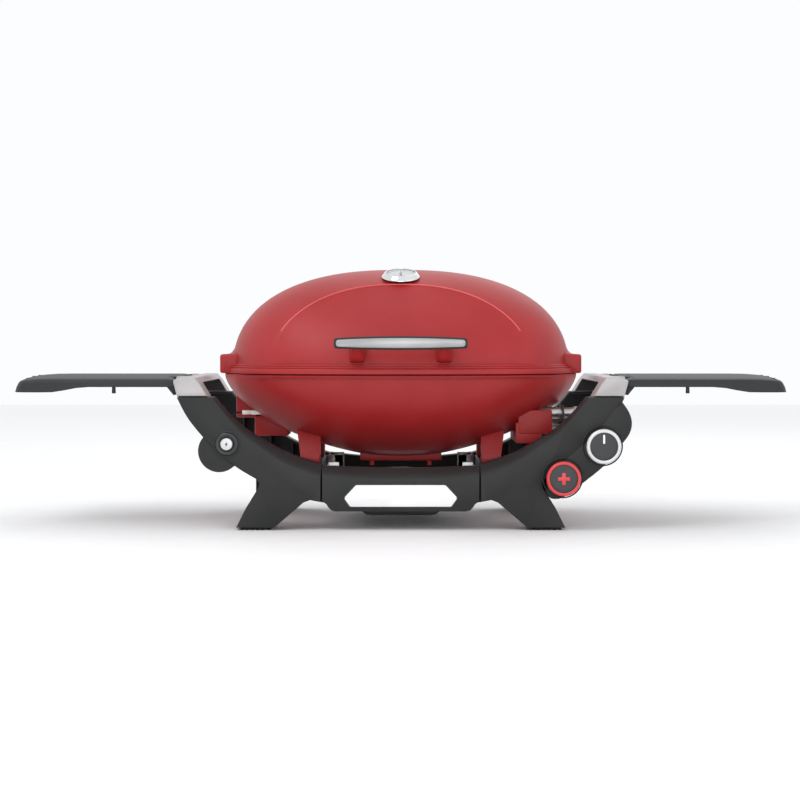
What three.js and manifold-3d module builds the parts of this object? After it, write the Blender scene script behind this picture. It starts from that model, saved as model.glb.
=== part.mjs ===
// A low, wide gas barbecue: an oval cast cookbox and lid on a moulded cradle with two folding side tables.
// X runs across the grill, -Y is the cook's side, +Z is up and the ground is Z = 0. Millimetres.
import * as THREE from "three";
import { mergeVertices } from "three/addons/utils/BufferGeometryUtils.js";
import Module from "manifold-3d";

const wasm = await Module();
wasm.setup();

// Driving dimensions.
const clear = 0.3; // gap between touching pieces
const centreShiftY = 11.75; // puts the whole grill's box centre over the origin
const planPower = 2.6; // how square the cookbox and lid are in plan

const seamZ = 258; // bottom of the lid
const lid = { halfX: 295, halfY: 228, rise: 181, wall: 5, sidePower: 2.4, frontPower: 1.85 };
const lidRim = { halfX: 306, halfY: 232, top: 271 };
const lidEar = { halfX: 311, halfY: 118, top: 290, corner: 22 };
const bowl = { halfX: 309, halfY: 224, top: 257, drop: 149, wall: 5, power: 1.75 };
const ledge = { halfX: 275, halfY: 192, low: 229, top: 235 };

const frameFront = -215;
const frameRear = 215;
const legDepth = 62;
const legInnerX = 132;
const footZ = 4;
const armTopZ = 220;
const panelDepth = 30;

const bracket = { y: 205, legY: 150, low: 220.5, barLow: 244.5, top: 253.5 };
const table = { inner: 380, outer: 654, halfY: 165, edgeZ: 249, crownZ: 256, skirt: 4 };
const tablePivot = { x: 377.5, z: 250, y: 120, halfLug: 8, pinR: 1.8, bossR: 4 };

const hinge = { y: 240, z: 263, x: 130, pinR: 4, bossR: 9, lugHalf: 8, earWide: 7 };
const handle = { halfX: 109, inlayHalfX: 104, y: -265, postX: 72 };
const gauge = { y: -87, z: 422.9, tilt: (17 * Math.PI) / 180 };

const mainKnobAt = { x: 334, z: 140 };
const smallKnobAt = { x: 268, z: 87 };
const igniterAt = { x: -288, z: 143 };
const igniterBossAt = { x: -301, z: 131, r: 35 };
const podCavityR = 22;

const mainBurner = { halfX: 200, halfY: 118, z: 190, r: 11, y: -100 };
const smallBurner = { z: 168, r: 8, y: -60, tip: -90 };
const venturiEnd = 312;

const pan = { halfTop: 92, halfBottom: 62, front: -183, rear: 190, low: 22, top: 76, wall: 2.5 };
const rail = { inner: 98, outer: 108, front: -181, rear: 181 };
const crossRail = { inner: 136, outer: 164, low: 84, top: 104 };

// Materials.
const paint = (color, roughness, metalness) => new THREE.MeshStandardMaterial({ color, roughness, metalness });
const redEnamel = paint(0xb02c2c, 0.45, 0.1);
const blackNylon = paint(0x3a3a3a, 0.7, 0);
const silverPaint = paint(0xb8b4b4, 0.4, 0.6);
const steel = paint(0xc8c8c8, 0.35, 0.9);
const castIron = paint(0x262626, 0.8, 0.3);
const brass = paint(0xb59a55, 0.35, 0.9);
const rubber = paint(0x1c1c1c, 0.9, 0);
const white = paint(0xf2f2f2, 0.5, 0);
const foil = paint(0xd6d6d6, 0.3, 0.9);

const grill = new THREE.Group();
grill.position.y = centreShiftY;

// A closed geometry as a solid that can be joined and cut.
function solid(geometry) {
  const bare = geometry.clone();
  bare.deleteAttribute("normal");
  bare.deleteAttribute("uv");
  const merged = mergeVertices(bare, 1e-3);
  return new wasm.Manifold(new wasm.Mesh({
    numProp: 3,
    vertProperties: new Float32Array(merged.attributes.position.array),
    triVerts: new Uint32Array(merged.index.array),
  }));
}

function place(name, shape, material, parent = grill) {
  const { vertProperties, triVerts } = shape.getMesh();
  const geometry = new THREE.BufferGeometry();
  geometry.setAttribute("position", new THREE.BufferAttribute(vertProperties, 3));
  geometry.setIndex(new THREE.BufferAttribute(triVerts, 1));
  geometry.computeVertexNormals();
  const mesh = new THREE.Mesh(geometry, material);
  mesh.name = name;
  parent.add(mesh);
  return mesh;
}

const join = (...parts) => parts.reduce((all, part) => all.add(part));

// Boxes and bars by their lowest and highest coordinates.
function block(x0, x1, y0, y1, z0, z1) {
  const box = new THREE.BoxGeometry(x1 - x0, y1 - y0, z1 - z0);
  return solid(box.translate((x0 + x1) / 2, (y0 + y1) / 2, (z0 + z1) / 2));
}

function extrude(shape, depth, curveSegments) {
  return new THREE.ExtrudeGeometry(shape, { depth, curveSegments, bevelEnabled: false });
}

// An outline drawn in X and Z, drawn out from y0 to y1.
function prismY(shape, y0, y1, curveSegments = 8) {
  return solid(extrude(shape, y1 - y0, curveSegments).rotateX(Math.PI / 2).translate(0, y1, 0));
}

// An outline drawn in Y and Z, drawn out from x0 to x1.
function prismX(shape, x0, x1, curveSegments = 8) {
  const turn = new THREE.Matrix4().makeBasis(
    new THREE.Vector3(0, 1, 0), new THREE.Vector3(0, 0, 1), new THREE.Vector3(1, 0, 0));
  return solid(extrude(shape, x1 - x0, curveSegments).applyMatrix4(turn).translate(x0, 0, 0));
}

function prismZ(shape, z0, z1, curveSegments = 8) {
  return solid(extrude(shape, z1 - z0, curveSegments).translate(0, 0, z0));
}

function outline(points) {
  return new THREE.Shape(points.map(([x, y]) => new THREE.Vector2(x, y)));
}

function rodX(r, x0, x1, y, z, sides = 16) {
  const rod = new THREE.CylinderGeometry(r, r, x1 - x0, sides).rotateZ(Math.PI / 2);
  return solid(rod.translate((x0 + x1) / 2, y, z));
}

function rodY(r, y0, y1, x, z, sides = 20) {
  return solid(new THREE.CylinderGeometry(r, r, y1 - y0, sides).translate(x, (y0 + y1) / 2, z));
}

function rodZ(r, z0, z1, x = 0, y = 0, sides = 16) {
  const rod = new THREE.CylinderGeometry(r, r, z1 - z0, sides).rotateX(Math.PI / 2);
  return solid(rod.translate(x, y, (z0 + z1) / 2));
}

// A round bar bent along a smooth curve.
function bentRod(points, radius, steps = 12) {
  const path = new THREE.CatmullRomCurve3(points.map((p) => new THREE.Vector3(...p)));
  const ring = new THREE.Shape().absarc(0, 0, radius, 0, 2 * Math.PI);
  const options = { steps, curveSegments: 4, bevelEnabled: false, extrudePath: path };
  return solid(new THREE.ExtrudeGeometry(ring, options));
}

// A profile of [radius, height] points turned about the vertical axis.
function turned(points, sides = 24) {
  return solid(new THREE.LatheGeometry(points.map(([r, z]) => new THREE.Vector2(r, z)), sides)
    .rotateX(Math.PI / 2));
}

const signedPower = (v, p) => Math.sign(v) * Math.abs(v) ** p;

// The oval plan that lid, cookbox, ledge and grates share.
function oval(halfX, halfY, steps = 36) {
  const points = [];
  for (let i = 0; i < steps; i++) {
    const turn = (2 * Math.PI * i) / steps;
    points.push(new THREE.Vector2(
      halfX * signedPower(Math.cos(turn), 2 / planPower),
      halfY * signedPower(Math.sin(turn), 2 / planPower)));
  }
  return new THREE.Shape(points);
}

// A sphere drawn out to an oval in plan; the side and front powers say how full its shoulders are.
function roundBody(halfX, halfY, rise, sidePower, frontPower, baseZ) {
  const ball = new THREE.SphereGeometry(1, 36, 16).rotateX(Math.PI / 2);
  const position = ball.attributes.position;
  for (let i = 0; i < position.count; i++) {
    const z = THREE.MathUtils.clamp(position.getZ(i), -1, 1);
    const flat = Math.hypot(position.getX(i), position.getY(i));
    const turn = Math.atan2(position.getY(i), position.getX(i));
    const power = sidePower + (frontPower - sidePower) * Math.sin(turn) ** 2;
    const reach = (flat < 1e-6 ? 0 : flat) ** (2 / power);
    position.setXYZ(i,
      halfX * reach * signedPower(Math.cos(turn), 2 / planPower),
      halfY * reach * signedPower(Math.sin(turn), 2 / planPower),
      baseZ + rise * signedPower(z, 2 / power));
  }
  return solid(ball);
}

const lidBody = (grow) => roundBody(lid.halfX + grow, lid.halfY + grow, lid.rise + grow,
  lid.sidePower, lid.frontPower, seamZ);
const bowlBody = (grow) => roundBody(bowl.halfX + grow, bowl.halfY + grow, bowl.drop + grow,
  bowl.power, bowl.power, bowl.top);

// Cookbox: one casting with a ledge for the grates, a sump, four legs, side blocks and hinge ears.
function makeCookbox() {
  const below = block(-400, 400, -300, 300, 0, bowl.top);
  let body = bowlBody(0).intersect(below);
  const legSection = outline([[131, 170], [172, 170], [165, 104.4], [135, 104.4]]);
  const legSectionLeft = outline([[-131, 170], [-172, 170], [-165, 104.4], [-135, 104.4]]);
  for (const section of [legSection, legSectionLeft])
    for (const y of [-116, 84]) body = body.add(prismY(section, y, y + 32));
  body = join(body,
    block(-287, -230, -40, 40, 180, 232), block(-255, -190, -40, 40, 148, 190),
    block(200, 260, -40, 40, 155, 232), block(170, 241, -40, 40, 139, 170),
    block(-71, 71, -45, 45, 105, 125),
    rodZ(4, 96, 106, -50, -36), rodZ(4, 96, 106, 50, -36));
  for (const side of [-1, 1])
    for (const edge of [-1, 1]) {
      const inner = side * hinge.x + edge * (hinge.lugHalf + clear + hinge.earWide / 2);
      const x0 = inner - hinge.earWide / 2;
      const ear = outline([[200, 225], [hinge.y, 250], [hinge.y + hinge.bossR, hinge.z],
        [hinge.y, hinge.z + hinge.bossR], [hinge.y - hinge.bossR, hinge.z], [228, 256], [200, 256]]);
      body = body.add(prismX(ear, x0, x0 + hinge.earWide));
    }
  body = body.subtract(bowlBody(-bowl.wall).intersect(below.add(block(-290, 290, -200, 200, 256, 260))));
  const shelf = prismZ(oval(298, 213), ledge.low, ledge.top)
    .subtract(prismZ(oval(ledge.halfX, ledge.halfY), ledge.low - 1, ledge.top + 1));
  body = body.add(shelf);
  body = body.subtract(block(-55, 55, -30, 30, 90, 130));
  body = body.subtract(rodX(mainBurner.r + 1, 150, 330, mainBurner.y, mainBurner.z));
  body = body.subtract(rodX(smallBurner.r + 1, 150, 330, smallBurner.y, smallBurner.z));
  body = body.subtract(rodX(4.5, -320, -200, -70, 190, 12));
  for (const side of [-1, 1])
    body = body.subtract(rodX(hinge.pinR + clear, side * hinge.x - 20, side * hinge.x + 20,
      hinge.y, hinge.z));
  place("cookbox", body, redEnamel);
}

// Lid: the domed shell, its rim, the side ears and two hinge lugs.
function makeLid() {
  const above = block(-400, 400, -300, 300, seamZ, 500);
  let body = lidBody(0).intersect(above);
  body = body.add(prismZ(oval(lidRim.halfX, lidRim.halfY), seamZ, lidRim.top));
  const ear = new THREE.Shape();
  const { halfX, halfY, corner } = lidEar;
  ear.moveTo(-halfX, -halfY + corner);
  ear.quadraticCurveTo(-halfX, -halfY, -halfX + corner, -halfY);
  ear.lineTo(halfX - corner, -halfY);
  ear.quadraticCurveTo(halfX, -halfY, halfX, -halfY + corner);
  ear.lineTo(halfX, halfY - corner);
  ear.quadraticCurveTo(halfX, halfY, halfX - corner, halfY);
  ear.lineTo(-halfX + corner, halfY);
  ear.quadraticCurveTo(-halfX, halfY, -halfX, halfY - corner);
  body = body.add(prismZ(ear, seamZ, lidEar.top, 4));
  const lugR = hinge.bossR - 1;
  const lug = outline([[205, 262], [hinge.y, hinge.z - lugR], [hinge.y + lugR, hinge.z],
    [hinge.y, hinge.z + lugR], [205, 290]]);
  for (const side of [-1, 1])
    body = body.add(prismX(lug, side * hinge.x - hinge.lugHalf, side * hinge.x + hinge.lugHalf));
  const mouth = prismZ(oval(lid.halfX - lid.wall, lid.halfY - lid.wall), 250, seamZ + 2);
  const hollow = lidBody(-lid.wall).add(mouth);
  body = body.subtract(hollow);
  for (const side of [-1, 1])
    body = body.subtract(rodX(hinge.pinR + clear, side * hinge.x - 20, side * hinge.x + 20,
      hinge.y, hinge.z));
  const stemHole = new THREE.CylinderGeometry(7, 7, 80, 16).rotateX(Math.PI / 2).rotateX(gauge.tilt);
  body = body.subtract(solid(stemHole.translate(0, gauge.y, gauge.z)));
  place("lid", body, redEnamel);
  for (const side of [-1, 1]) {
    const half = hinge.lugHalf + clear + hinge.earWide + 2;
    place(side < 0 ? "left_hinge_pin" : "right_hinge_pin",
      rodX(hinge.pinR, side * hinge.x - half, side * hinge.x + half, hinge.y, hinge.z), steel);
  }
}

// Lid handle: a bowed bar on two posts, with a brushed metal inlay.
function makeHandle() {
  const end = handle.halfX;
  const bar = outline([[-end, 302], [-end, 318], [-70, 320.5], [0, 321.5], [70, 320.5],
    [end, 318], [end, 302], [70, 300], [0, 299], [-70, 300]]);
  let body = prismY(bar, handle.y - 5, handle.y + 9);
  const post = outline([[handle.y + 5, 303], [handle.y + 5, 317], [-205, 302], [-205, 277], [-228, 279]]);
  for (const side of [-1, 1])
    body = body.add(prismX(post, side * handle.postX - 7, side * handle.postX + 7));
  body = body.subtract(lidBody(clear));
  place("lid_handle", body, blackNylon);
  const tip = handle.inlayHalfX;
  const inlay = outline([[-tip, 304], [-tip, 316], [-70, 318], [0, 319], [70, 318],
    [tip, 316], [tip, 304], [70, 302.5], [0, 301.5], [-70, 302.5]]);
  place("handle_inlay", prismY(inlay, handle.y - 7.5, handle.y - 5 - clear), steel);
}

// Lid thermometer, built upright and then tilted to lie on the lid.
function makeGauge() {
  const group = new THREE.Group();
  group.position.set(0, gauge.y, gauge.z);
  group.rotation.x = gauge.tilt;
  grill.add(group);
  const housing = [[0, 0.6], [33, 0.6], [33, 2.5], [27, 9.5], [25.5, 9.5], [25.2, 3], [0, 3]];
  const stemHole = rodZ(2.2, -5, 6);
  const shell = turned(housing).subtract(stemHole);
  place("thermometer_housing", shell, steel, group);
  place("thermometer_dial", rodZ(24.6, 3.3, 4.3, 0, 0, 24).subtract(rodZ(1.2, 0, 6)), white, group);
  place("thermometer_probe", rodZ(1.9, -62, 2.8, 0, 0, 12), steel, group);
  const needle = outline([[-1.4, -7], [1.4, -7], [0.5, 19], [-0.5, 19]]);
  const hub = rodZ(2.4, 5, 7, 0, 0, 16).add(rodZ(0.9, 3.5, 6, 0, 0, 12));
  place("thermometer_needle", prismZ(needle, 5.2, 6.2).add(hub), blackNylon, group);
  place("thermometer_glass", rodZ(24.9, 7.4, 8.6, 0, 0, 24), white, group);
}

// One leg of the cradle: a curved arm, a splayed foot and the stub that meets the centre panel.
function legOutline(side) {
  const at = ([x, z]) => new THREE.Vector2(side * x, z);
  const shape = new THREE.Shape();
  shape.moveTo(side * 312, armTopZ);
  shape.splineThru([[287, 191], [257, 164], [228, 147], [185, 124], [legInnerX, 107]].map(at));
  shape.lineTo(side * legInnerX, 46);
  shape.lineTo(side * 152, 50);
  shape.lineTo(side * 162, 45);
  shape.lineTo(side * 210, footZ);
  shape.lineTo(side * 273, footZ);
  shape.lineTo(side * 257, 36);
  shape.lineTo(side * 236, 70);
  shape.quadraticCurveTo(side * 231, 79, side * 240, 85);
  shape.splineThru([[274, 106], [312, 138], [350, 182], [371, armTopZ]].map(at));
  return shape;
}

// The control pod swells out under the right arm.
function podOutline() {
  const shape = new THREE.Shape();
  shape.moveTo(366, 214);
  shape.splineThru([[378, 196], [383, 178], [379, 160], [366, 142]].map((p) => new THREE.Vector2(...p)));
  shape.lineTo(339, 109);
  shape.lineTo(308, 83);
  shape.lineTo(272, 56);
  shape.quadraticCurveTo(250, 46, 240, 62);
  shape.lineTo(250, 100);
  shape.lineTo(330, 180);
  return shape;
}

function makeLegs() {
  const frontBack = frameFront + legDepth;
  const leftFront = prismY(legOutline(-1), frameFront, frontBack)
    .add(rodY(igniterBossAt.r, frameFront + 3, frontBack, igniterBossAt.x, igniterBossAt.z, 24))
    .subtract(rodY(25, frameFront + 10, frontBack + 1, -294, 137))
    .subtract(rodY(10.6, frameFront - 1, frameFront + 12, igniterAt.x, igniterAt.z));
  place("left_front_leg", leftFront, blackNylon);
  let rightFront = prismY(legOutline(1), frameFront, frontBack)
    .add(prismY(podOutline(), frameFront - 2, frontBack));
  for (const knob of [mainKnobAt, smallKnobAt]) {
    rightFront = rightFront.subtract(rodY(podCavityR, frameFront + 8, frontBack + 1, knob.x, knob.z));
    rightFront = rightFront.subtract(rodY(5, frameFront - 5, frameFront + 10, knob.x, knob.z, 16));
  }
  place("right_front_leg", rightFront, blackNylon);
  for (const side of [-1, 1]) {
    const word = side < 0 ? "left" : "right";
    place(word + "_rear_leg", prismY(legOutline(side), frameRear - legDepth, frameRear), blackNylon);
    for (const end of [-1, 1]) {
      const y = end * (frameRear - legDepth / 2);
      const pad = block(Math.min(side * 216, side * 266), Math.max(side * 216, side * 266),
        y - 24, y + 24, 0, footZ - clear);
      place(word + (end < 0 ? "_front" : "_rear") + "_foot_pad", pad, rubber);
    }
    const x0 = Math.min(side * crossRail.inner, side * crossRail.outer);
    const reach = frameRear - legDepth - clear;
    const x1 = x0 + crossRail.outer - crossRail.inner;
    place(word + "_cross_rail", block(x0, x1, -reach, reach, crossRail.low, crossRail.top), blackNylon);
  }
}

// Centre panels between the legs, and the blank nameplate on the front one.
function makePanels() {
  const half = legInnerX - clear;
  const front = new THREE.Shape();
  front.moveTo(-half, 106);
  front.quadraticCurveTo(0, 100, half, 106);
  front.lineTo(half, 46);
  front.quadraticCurveTo(124, 46, 120, 38);
  front.quadraticCurveTo(114, 31, 104, 31);
  front.lineTo(-104, 31);
  front.quadraticCurveTo(-114, 31, -120, 38);
  front.quadraticCurveTo(-124, 46, -half, 46);
  place("front_centre_panel", prismY(front, frameFront, frameFront + panelDepth), blackNylon);
  const rear = new THREE.Shape();
  rear.moveTo(-half, 106);
  rear.quadraticCurveTo(0, 88, half, 106);
  rear.lineTo(half, 82);
  rear.lineTo(-half, 82);
  place("rear_centre_panel", prismY(rear, frameRear - panelDepth, frameRear), blackNylon);
  const plate = new THREE.Shape();
  plate.moveTo(-74, 77.5);
  plate.lineTo(74, 77.5);
  plate.bezierCurveTo(86, 77.5, 95, 66, 95, 53);
  plate.bezierCurveTo(95, 44, 90, 37, 82, 37);
  plate.lineTo(-82, 37);
  plate.bezierCurveTo(-90, 37, -95, 44, -95, 53);
  plate.bezierCurveTo(-95, 66, -86, 77.5, -74, 77.5);
  place("nameplate", prismY(plate, frameFront - 3, frameFront - clear), steel);
}

// Carry brackets: silver bars that bridge the front and rear arms and hold the table pins.
function makeBrackets() {
  for (const side of [-1, 1]) {
    const flip = ([x, z]) => [side * x, z];
    const section = outline([[320, bracket.low], [372, bracket.low], [378, 246], [373, 250],
      [366, bracket.top], [344, bracket.top], [335, 247]].map(flip));
    let body = prismY(section, -bracket.y, bracket.y);
    body = body.subtract(block(-400, 400, -bracket.legY, bracket.legY, 200, bracket.barLow));
    for (const end of [-1, 1]) {
      const y = end * tablePivot.y;
      const half = tablePivot.halfLug;
      const x = side * tablePivot.x;
      for (const edge of [-1, 1]) {
        const yIn = y + edge * (half + clear + 3.5);
        const arm = block(Math.min(side * 366, x), Math.max(side * 366, x), yIn - 3.5, yIn + 3.5, 246.5, 253);
        body = join(body, arm, rodY(tablePivot.bossR, yIn - 3.5, yIn + 3.5, x, tablePivot.z, 16));
      }
      body = body.subtract(rodY(6, y - half - clear, y + half + clear, x, tablePivot.z, 16));
      body = body.subtract(rodY(tablePivot.pinR + clear, y - 20, y + 20, x, tablePivot.z, 12));
    }
    place(side < 0 ? "left_carry_bracket" : "right_carry_bracket", body, silverPaint);
  }
}

// Side tables: crowned shells that fold up on two pins each.
function makeTables() {
  for (const side of [-1, 1]) {
    const word = side < 0 ? "left" : "right";
    const x = (value) => side * value;
    const span = (a, b) => [Math.min(x(a), x(b)), Math.max(x(a), x(b))];
    const section = new THREE.Shape();
    section.moveTo(x(table.inner), 236);
    section.lineTo(x(530), 236);
    section.bezierCurveTo(x(560), 235, x(565), 229, x(595), 229);
    section.lineTo(x(table.outer - 6), 229);
    section.quadraticCurveTo(x(table.outer), 229, x(table.outer - 1), 234);
    section.lineTo(x(table.outer - 8), 252);
    section.lineTo(x(table.outer - 18), 258);
    section.lineTo(x(390), 258);
    section.lineTo(x(table.inner), 251.5);
    const crown = new THREE.Shape();
    crown.moveTo(-table.halfY, 220);
    crown.lineTo(-table.halfY, table.edgeZ);
    crown.quadraticCurveTo(0, 2 * table.crownZ - table.edgeZ, table.halfY, table.edgeZ);
    crown.lineTo(table.halfY, 220);
    const innerY = table.halfY - table.skirt;
    const innerZ = table.edgeZ - table.skirt;
    const hollow = new THREE.Shape();
    hollow.moveTo(-innerY, 220);
    hollow.lineTo(-innerY, innerZ);
    hollow.quadraticCurveTo(0, 2 * table.crownZ - table.edgeZ - table.skirt, innerY, innerZ);
    hollow.lineTo(innerY, 220);
    let body = prismY(section, -table.halfY, table.halfY).intersect(prismX(crown, ...span(370, 660)));
    body = body.subtract(prismX(hollow, ...span(396, 640)));
    body = body.add(block(...span(480, 487), -164, -152, 225, 245));
    const stop = outline([[x(380.6), 240], [x(395), 240], [x(380.6), 221]]);
    for (const y of [-160, 130]) body = body.add(prismY(stop, y, y + 30));
    for (const end of [-1, 1]) {
      const y = end * tablePivot.y;
      const half = tablePivot.halfLug;
      const pivotX = x(tablePivot.x);
      body = body.subtract(rodY(6.5, y - half - 8.5, y + half + 8.5, pivotX, tablePivot.z, 16));
      body = join(body, rodY(tablePivot.bossR, y - half, y + half, pivotX, tablePivot.z, 16),
        block(...span(tablePivot.x, 388), y - half, y + half, 246.5, 250));
      body = body.subtract(rodY(tablePivot.pinR + clear, y - 20, y + 20, pivotX, tablePivot.z, 12));
      place(word + (end < 0 ? "_front" : "_rear") + "_table_pin",
        rodY(tablePivot.pinR, y - 17, y + 17, pivotX, tablePivot.z, 12), steel);
    }
    place(word + "_side_table", body, blackNylon);
  }
}

// Grates: two cast-iron halves with bars running front to back.
function makeGrates() {
  for (const side of [-1, 1]) {
    const reach = [Math.min(side * 0.6, side * 290), Math.max(side * 0.6, side * 290)];
    let body = prismZ(oval(286, 203), ledge.top + clear, 246);
    body = body.intersect(block(...reach, -210, 210, 230, 250));
    for (let i = 0; i < 13; i++) {
      const x = side * (16 + i * 18.5);
      const limit = 185 * (1 - (Math.abs(x) / 284) ** planPower) ** (1 / planPower);
      for (const end of [-1, 1])
        body = body.subtract(block(x - 5, x + 5, end < 0 ? -limit : 5, end < 0 ? -5 : limit, 230, 250));
    }
    place(side < 0 ? "left_grate" : "right_grate", body, castIron);
  }
}

// Burners: an oval ring and a short straight tube, each with its own straight inlet.
function makeBurners() {
  const ring = new THREE.TorusGeometry(1, 0.1, 6, 28);
  const position = ring.attributes.position;
  for (let i = 0; i < position.count; i++) {
    const turn = Math.atan2(position.getY(i), position.getX(i));
    const off = (Math.hypot(position.getX(i), position.getY(i)) - 1) * 10 * mainBurner.r;
    position.setXYZ(i, (mainBurner.halfX + off) * Math.cos(turn), (mainBurner.halfY + off) * Math.sin(turn),
      position.getZ(i) * 10 * mainBurner.r);
  }
  const tube = rodX(mainBurner.r - 0.5, 105, venturiEnd, mainBurner.y, 0, 16);
  const loop = solid(ring).add(tube).subtract(rodX(8, 260, 330, mainBurner.y, 0, 16));
  const holder = new THREE.Group();
  holder.position.z = mainBurner.z;
  grill.add(holder);
  place("main_burner", loop, steel, holder);
  const straight = rodX(smallBurner.r, smallBurner.tip, venturiEnd, smallBurner.y, smallBurner.z, 16)
    .subtract(rodX(5.5, 260, 330, smallBurner.y, smallBurner.z, 16));
  place("centre_burner", straight, steel);
  const bracketPlate = block(276, 279, -116, -46, 152, 204)
    .subtract(rodX(mainBurner.r + 0.3, 270, 290, mainBurner.y, mainBurner.z))
    .subtract(rodX(smallBurner.r + 0.3, 270, 290, smallBurner.y, smallBurner.z));
  place("burner_bracket", bracketPlate.add(block(279, 306, -84, -76, 172, 180)), steel);
}

// Gas valves behind the knobs, their feed tubes, the manifold that joins them and the gas inlet.
function makeGas() {
  const valves = [
    { name: "main", at: mainKnobAt, mouth: [venturiEnd - 12, mainBurner.y, mainBurner.z], r: 28.8 },
    { name: "centre", at: smallKnobAt, mouth: [venturiEnd - 12, smallBurner.y, smallBurner.z], r: 28.5 },
  ];
  for (const { name, at, mouth, r } of valves) {
    const body = rodY(13, -206, -156, at.x, at.z).subtract(rodY(7.4, -207, -172, at.x, at.z));
    place(name + "_valve_body", body, brass);
    const plug = rodY(7, -203, -174, at.x, at.z, 16).subtract(rodY(3.8, -204, -180, at.x, at.z, 16));
    place(name + "_valve_plug", plug, brass);
    place(name + "_valve_stem", rodY(3.5, -233, -188, at.x, at.z, 16), steel);
    const knob = new THREE.LatheGeometry([[0, 0], [r - 3, 0], [r, 2], [r, 17], [r - 2, 20], [0, 20]]
      .map(([x, y]) => new THREE.Vector2(x, y)), 28);
    const front = -242;
    const placed = solid(knob.translate(at.x, front, at.z));
    place(name + "_knob", placed.subtract(rodY(3.8, -235, -200, at.x, at.z, 16)), blackNylon);
    const feedZ = at.z + 7.5;
    const feed = bentRod([[at.x, -156 + clear, feedZ], [at.x, -138, feedZ],
      [venturiEnd + 16, mouth[1] - 8, mouth[2] - 12], [venturiEnd + 4, mouth[1], mouth[2]], mouth], 3.5);
    place(name + "_feed_tube", feed, steel);
  }
  const pipe = bentRod([[smallKnobAt.x - 14, -144, smallKnobAt.z - 18], [301, -144, 106.5],
    [mainKnobAt.x + 18, -144, mainKnobAt.z + 8], [356, -130, 150], [356, -60, 150]], 5, 24);
  const ports = valves.map(({ at }) => rodY(4, -156 + clear, -144, at.x, at.z - 6, 12));
  const feedGaps = valves.map(({ at }) => rodY(4.5, -175, -135, at.x, at.z + 7.5, 12));
  place("gas_manifold", join(pipe, ...ports).subtract(feedGaps[0]).subtract(feedGaps[1]), brass);
  const nut = solid(new THREE.CylinderGeometry(11, 11, 22, 6).translate(356, -48, 150));
  place("gas_inlet", nut.subtract(rodY(5, -45, -30, 356, 150, 12)), brass);
}

// Push-button igniter with its module, cell, lead and electrode.
function makeIgniter() {
  const { x, z } = igniterAt;
  const collar = rodY(19, -219, frameFront - clear, x, z, 24).subtract(rodY(10.6, -222, -210, x, z));
  place("igniter_collar", collar, blackNylon);
  place("igniter_button", rodY(10, -223, -214, x, z).add(rodY(4, -215, -194, x, z, 16)), white);
  place("igniter_module", block(x - 11, x + 11, -188, -157, z - 11, z + 11), blackNylon);
  place("igniter_cell", rodY(5.2, -202, -158, -308, 128, 16), steel);
  const lead = bentRod([[x, -156.5, z], [x, -135, z + 2], [-290, -95, 172], [-284, -70, 190],
    [-274.5, -70, 190]], 1.5, 14);
  place("igniter_lead", lead, rubber);
  const electrode = rodX(4, -274, -228, -70, 190, 12).add(rodX(1.3, -232, -206, -70, 190, 8));
  place("igniter_electrode", electrode, white);
}

// Catch pan with its foil liner, on two rails that hang from the cross rails.
function makePan() {
  const slope = (pan.halfTop - pan.halfBottom) / (pan.top - pan.low);
  const section = (inset, top) => {
    const low = pan.low + inset;
    const halfAt = (z) => pan.halfBottom + slope * (z - pan.low) - 1.2 * inset;
    return outline([[-halfAt(low), low], [halfAt(low), low], [halfAt(top), top], [-halfAt(top), top]]);
  };
  const flange = block(-104, 104, pan.front, pan.rear, pan.top - 2, pan.top);
  const tub = prismY(section(0, pan.top), pan.front, pan.rear).add(flange)
    .subtract(prismY(section(pan.wall, pan.top + 1), pan.front + pan.wall, pan.rear - pan.wall));
  place("drip_pan", tub, blackNylon);
  const inner = pan.wall + clear;
  const thin = 1;
  const tray = prismY(section(inner, 60), pan.front + inner, pan.rear - inner)
    .subtract(prismY(section(inner + thin, 61), pan.front + inner + thin, pan.rear - inner - thin));
  place("foil_liner", tray, foil);
  for (const side of [-1, 1]) {
    const span = (a, b) => [Math.min(side * a, side * b), Math.max(side * a, side * b)];
    let body = join(block(...span(106, 108), rail.front, rail.rear, 71, 80),
      block(...span(rail.inner, 108), rail.front, rail.rear, 71, 73),
      block(...span(rail.inner, 108), rail.front, rail.rear, 78, 80));
    for (const y of [-151, 149])
      body = join(body, block(...span(106, 135.7), y, y + 2, 78, 104),
        block(...span(104, 122), y, y + 2, 79, 109));
    place(side < 0 ? "left_pan_rail" : "right_pan_rail", body, steel);
  }
}

makeCookbox();
makeLid();
makeHandle();
makeGauge();
makeLegs();
makePanels();
makeBrackets();
makeTables();
makeGrates();
makeBurners();
makeGas();
makeIgniter();
makePan();

export default grill;
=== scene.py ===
import math
import bmesh
import bpy
from mathutils import Matrix, Vector


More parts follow.
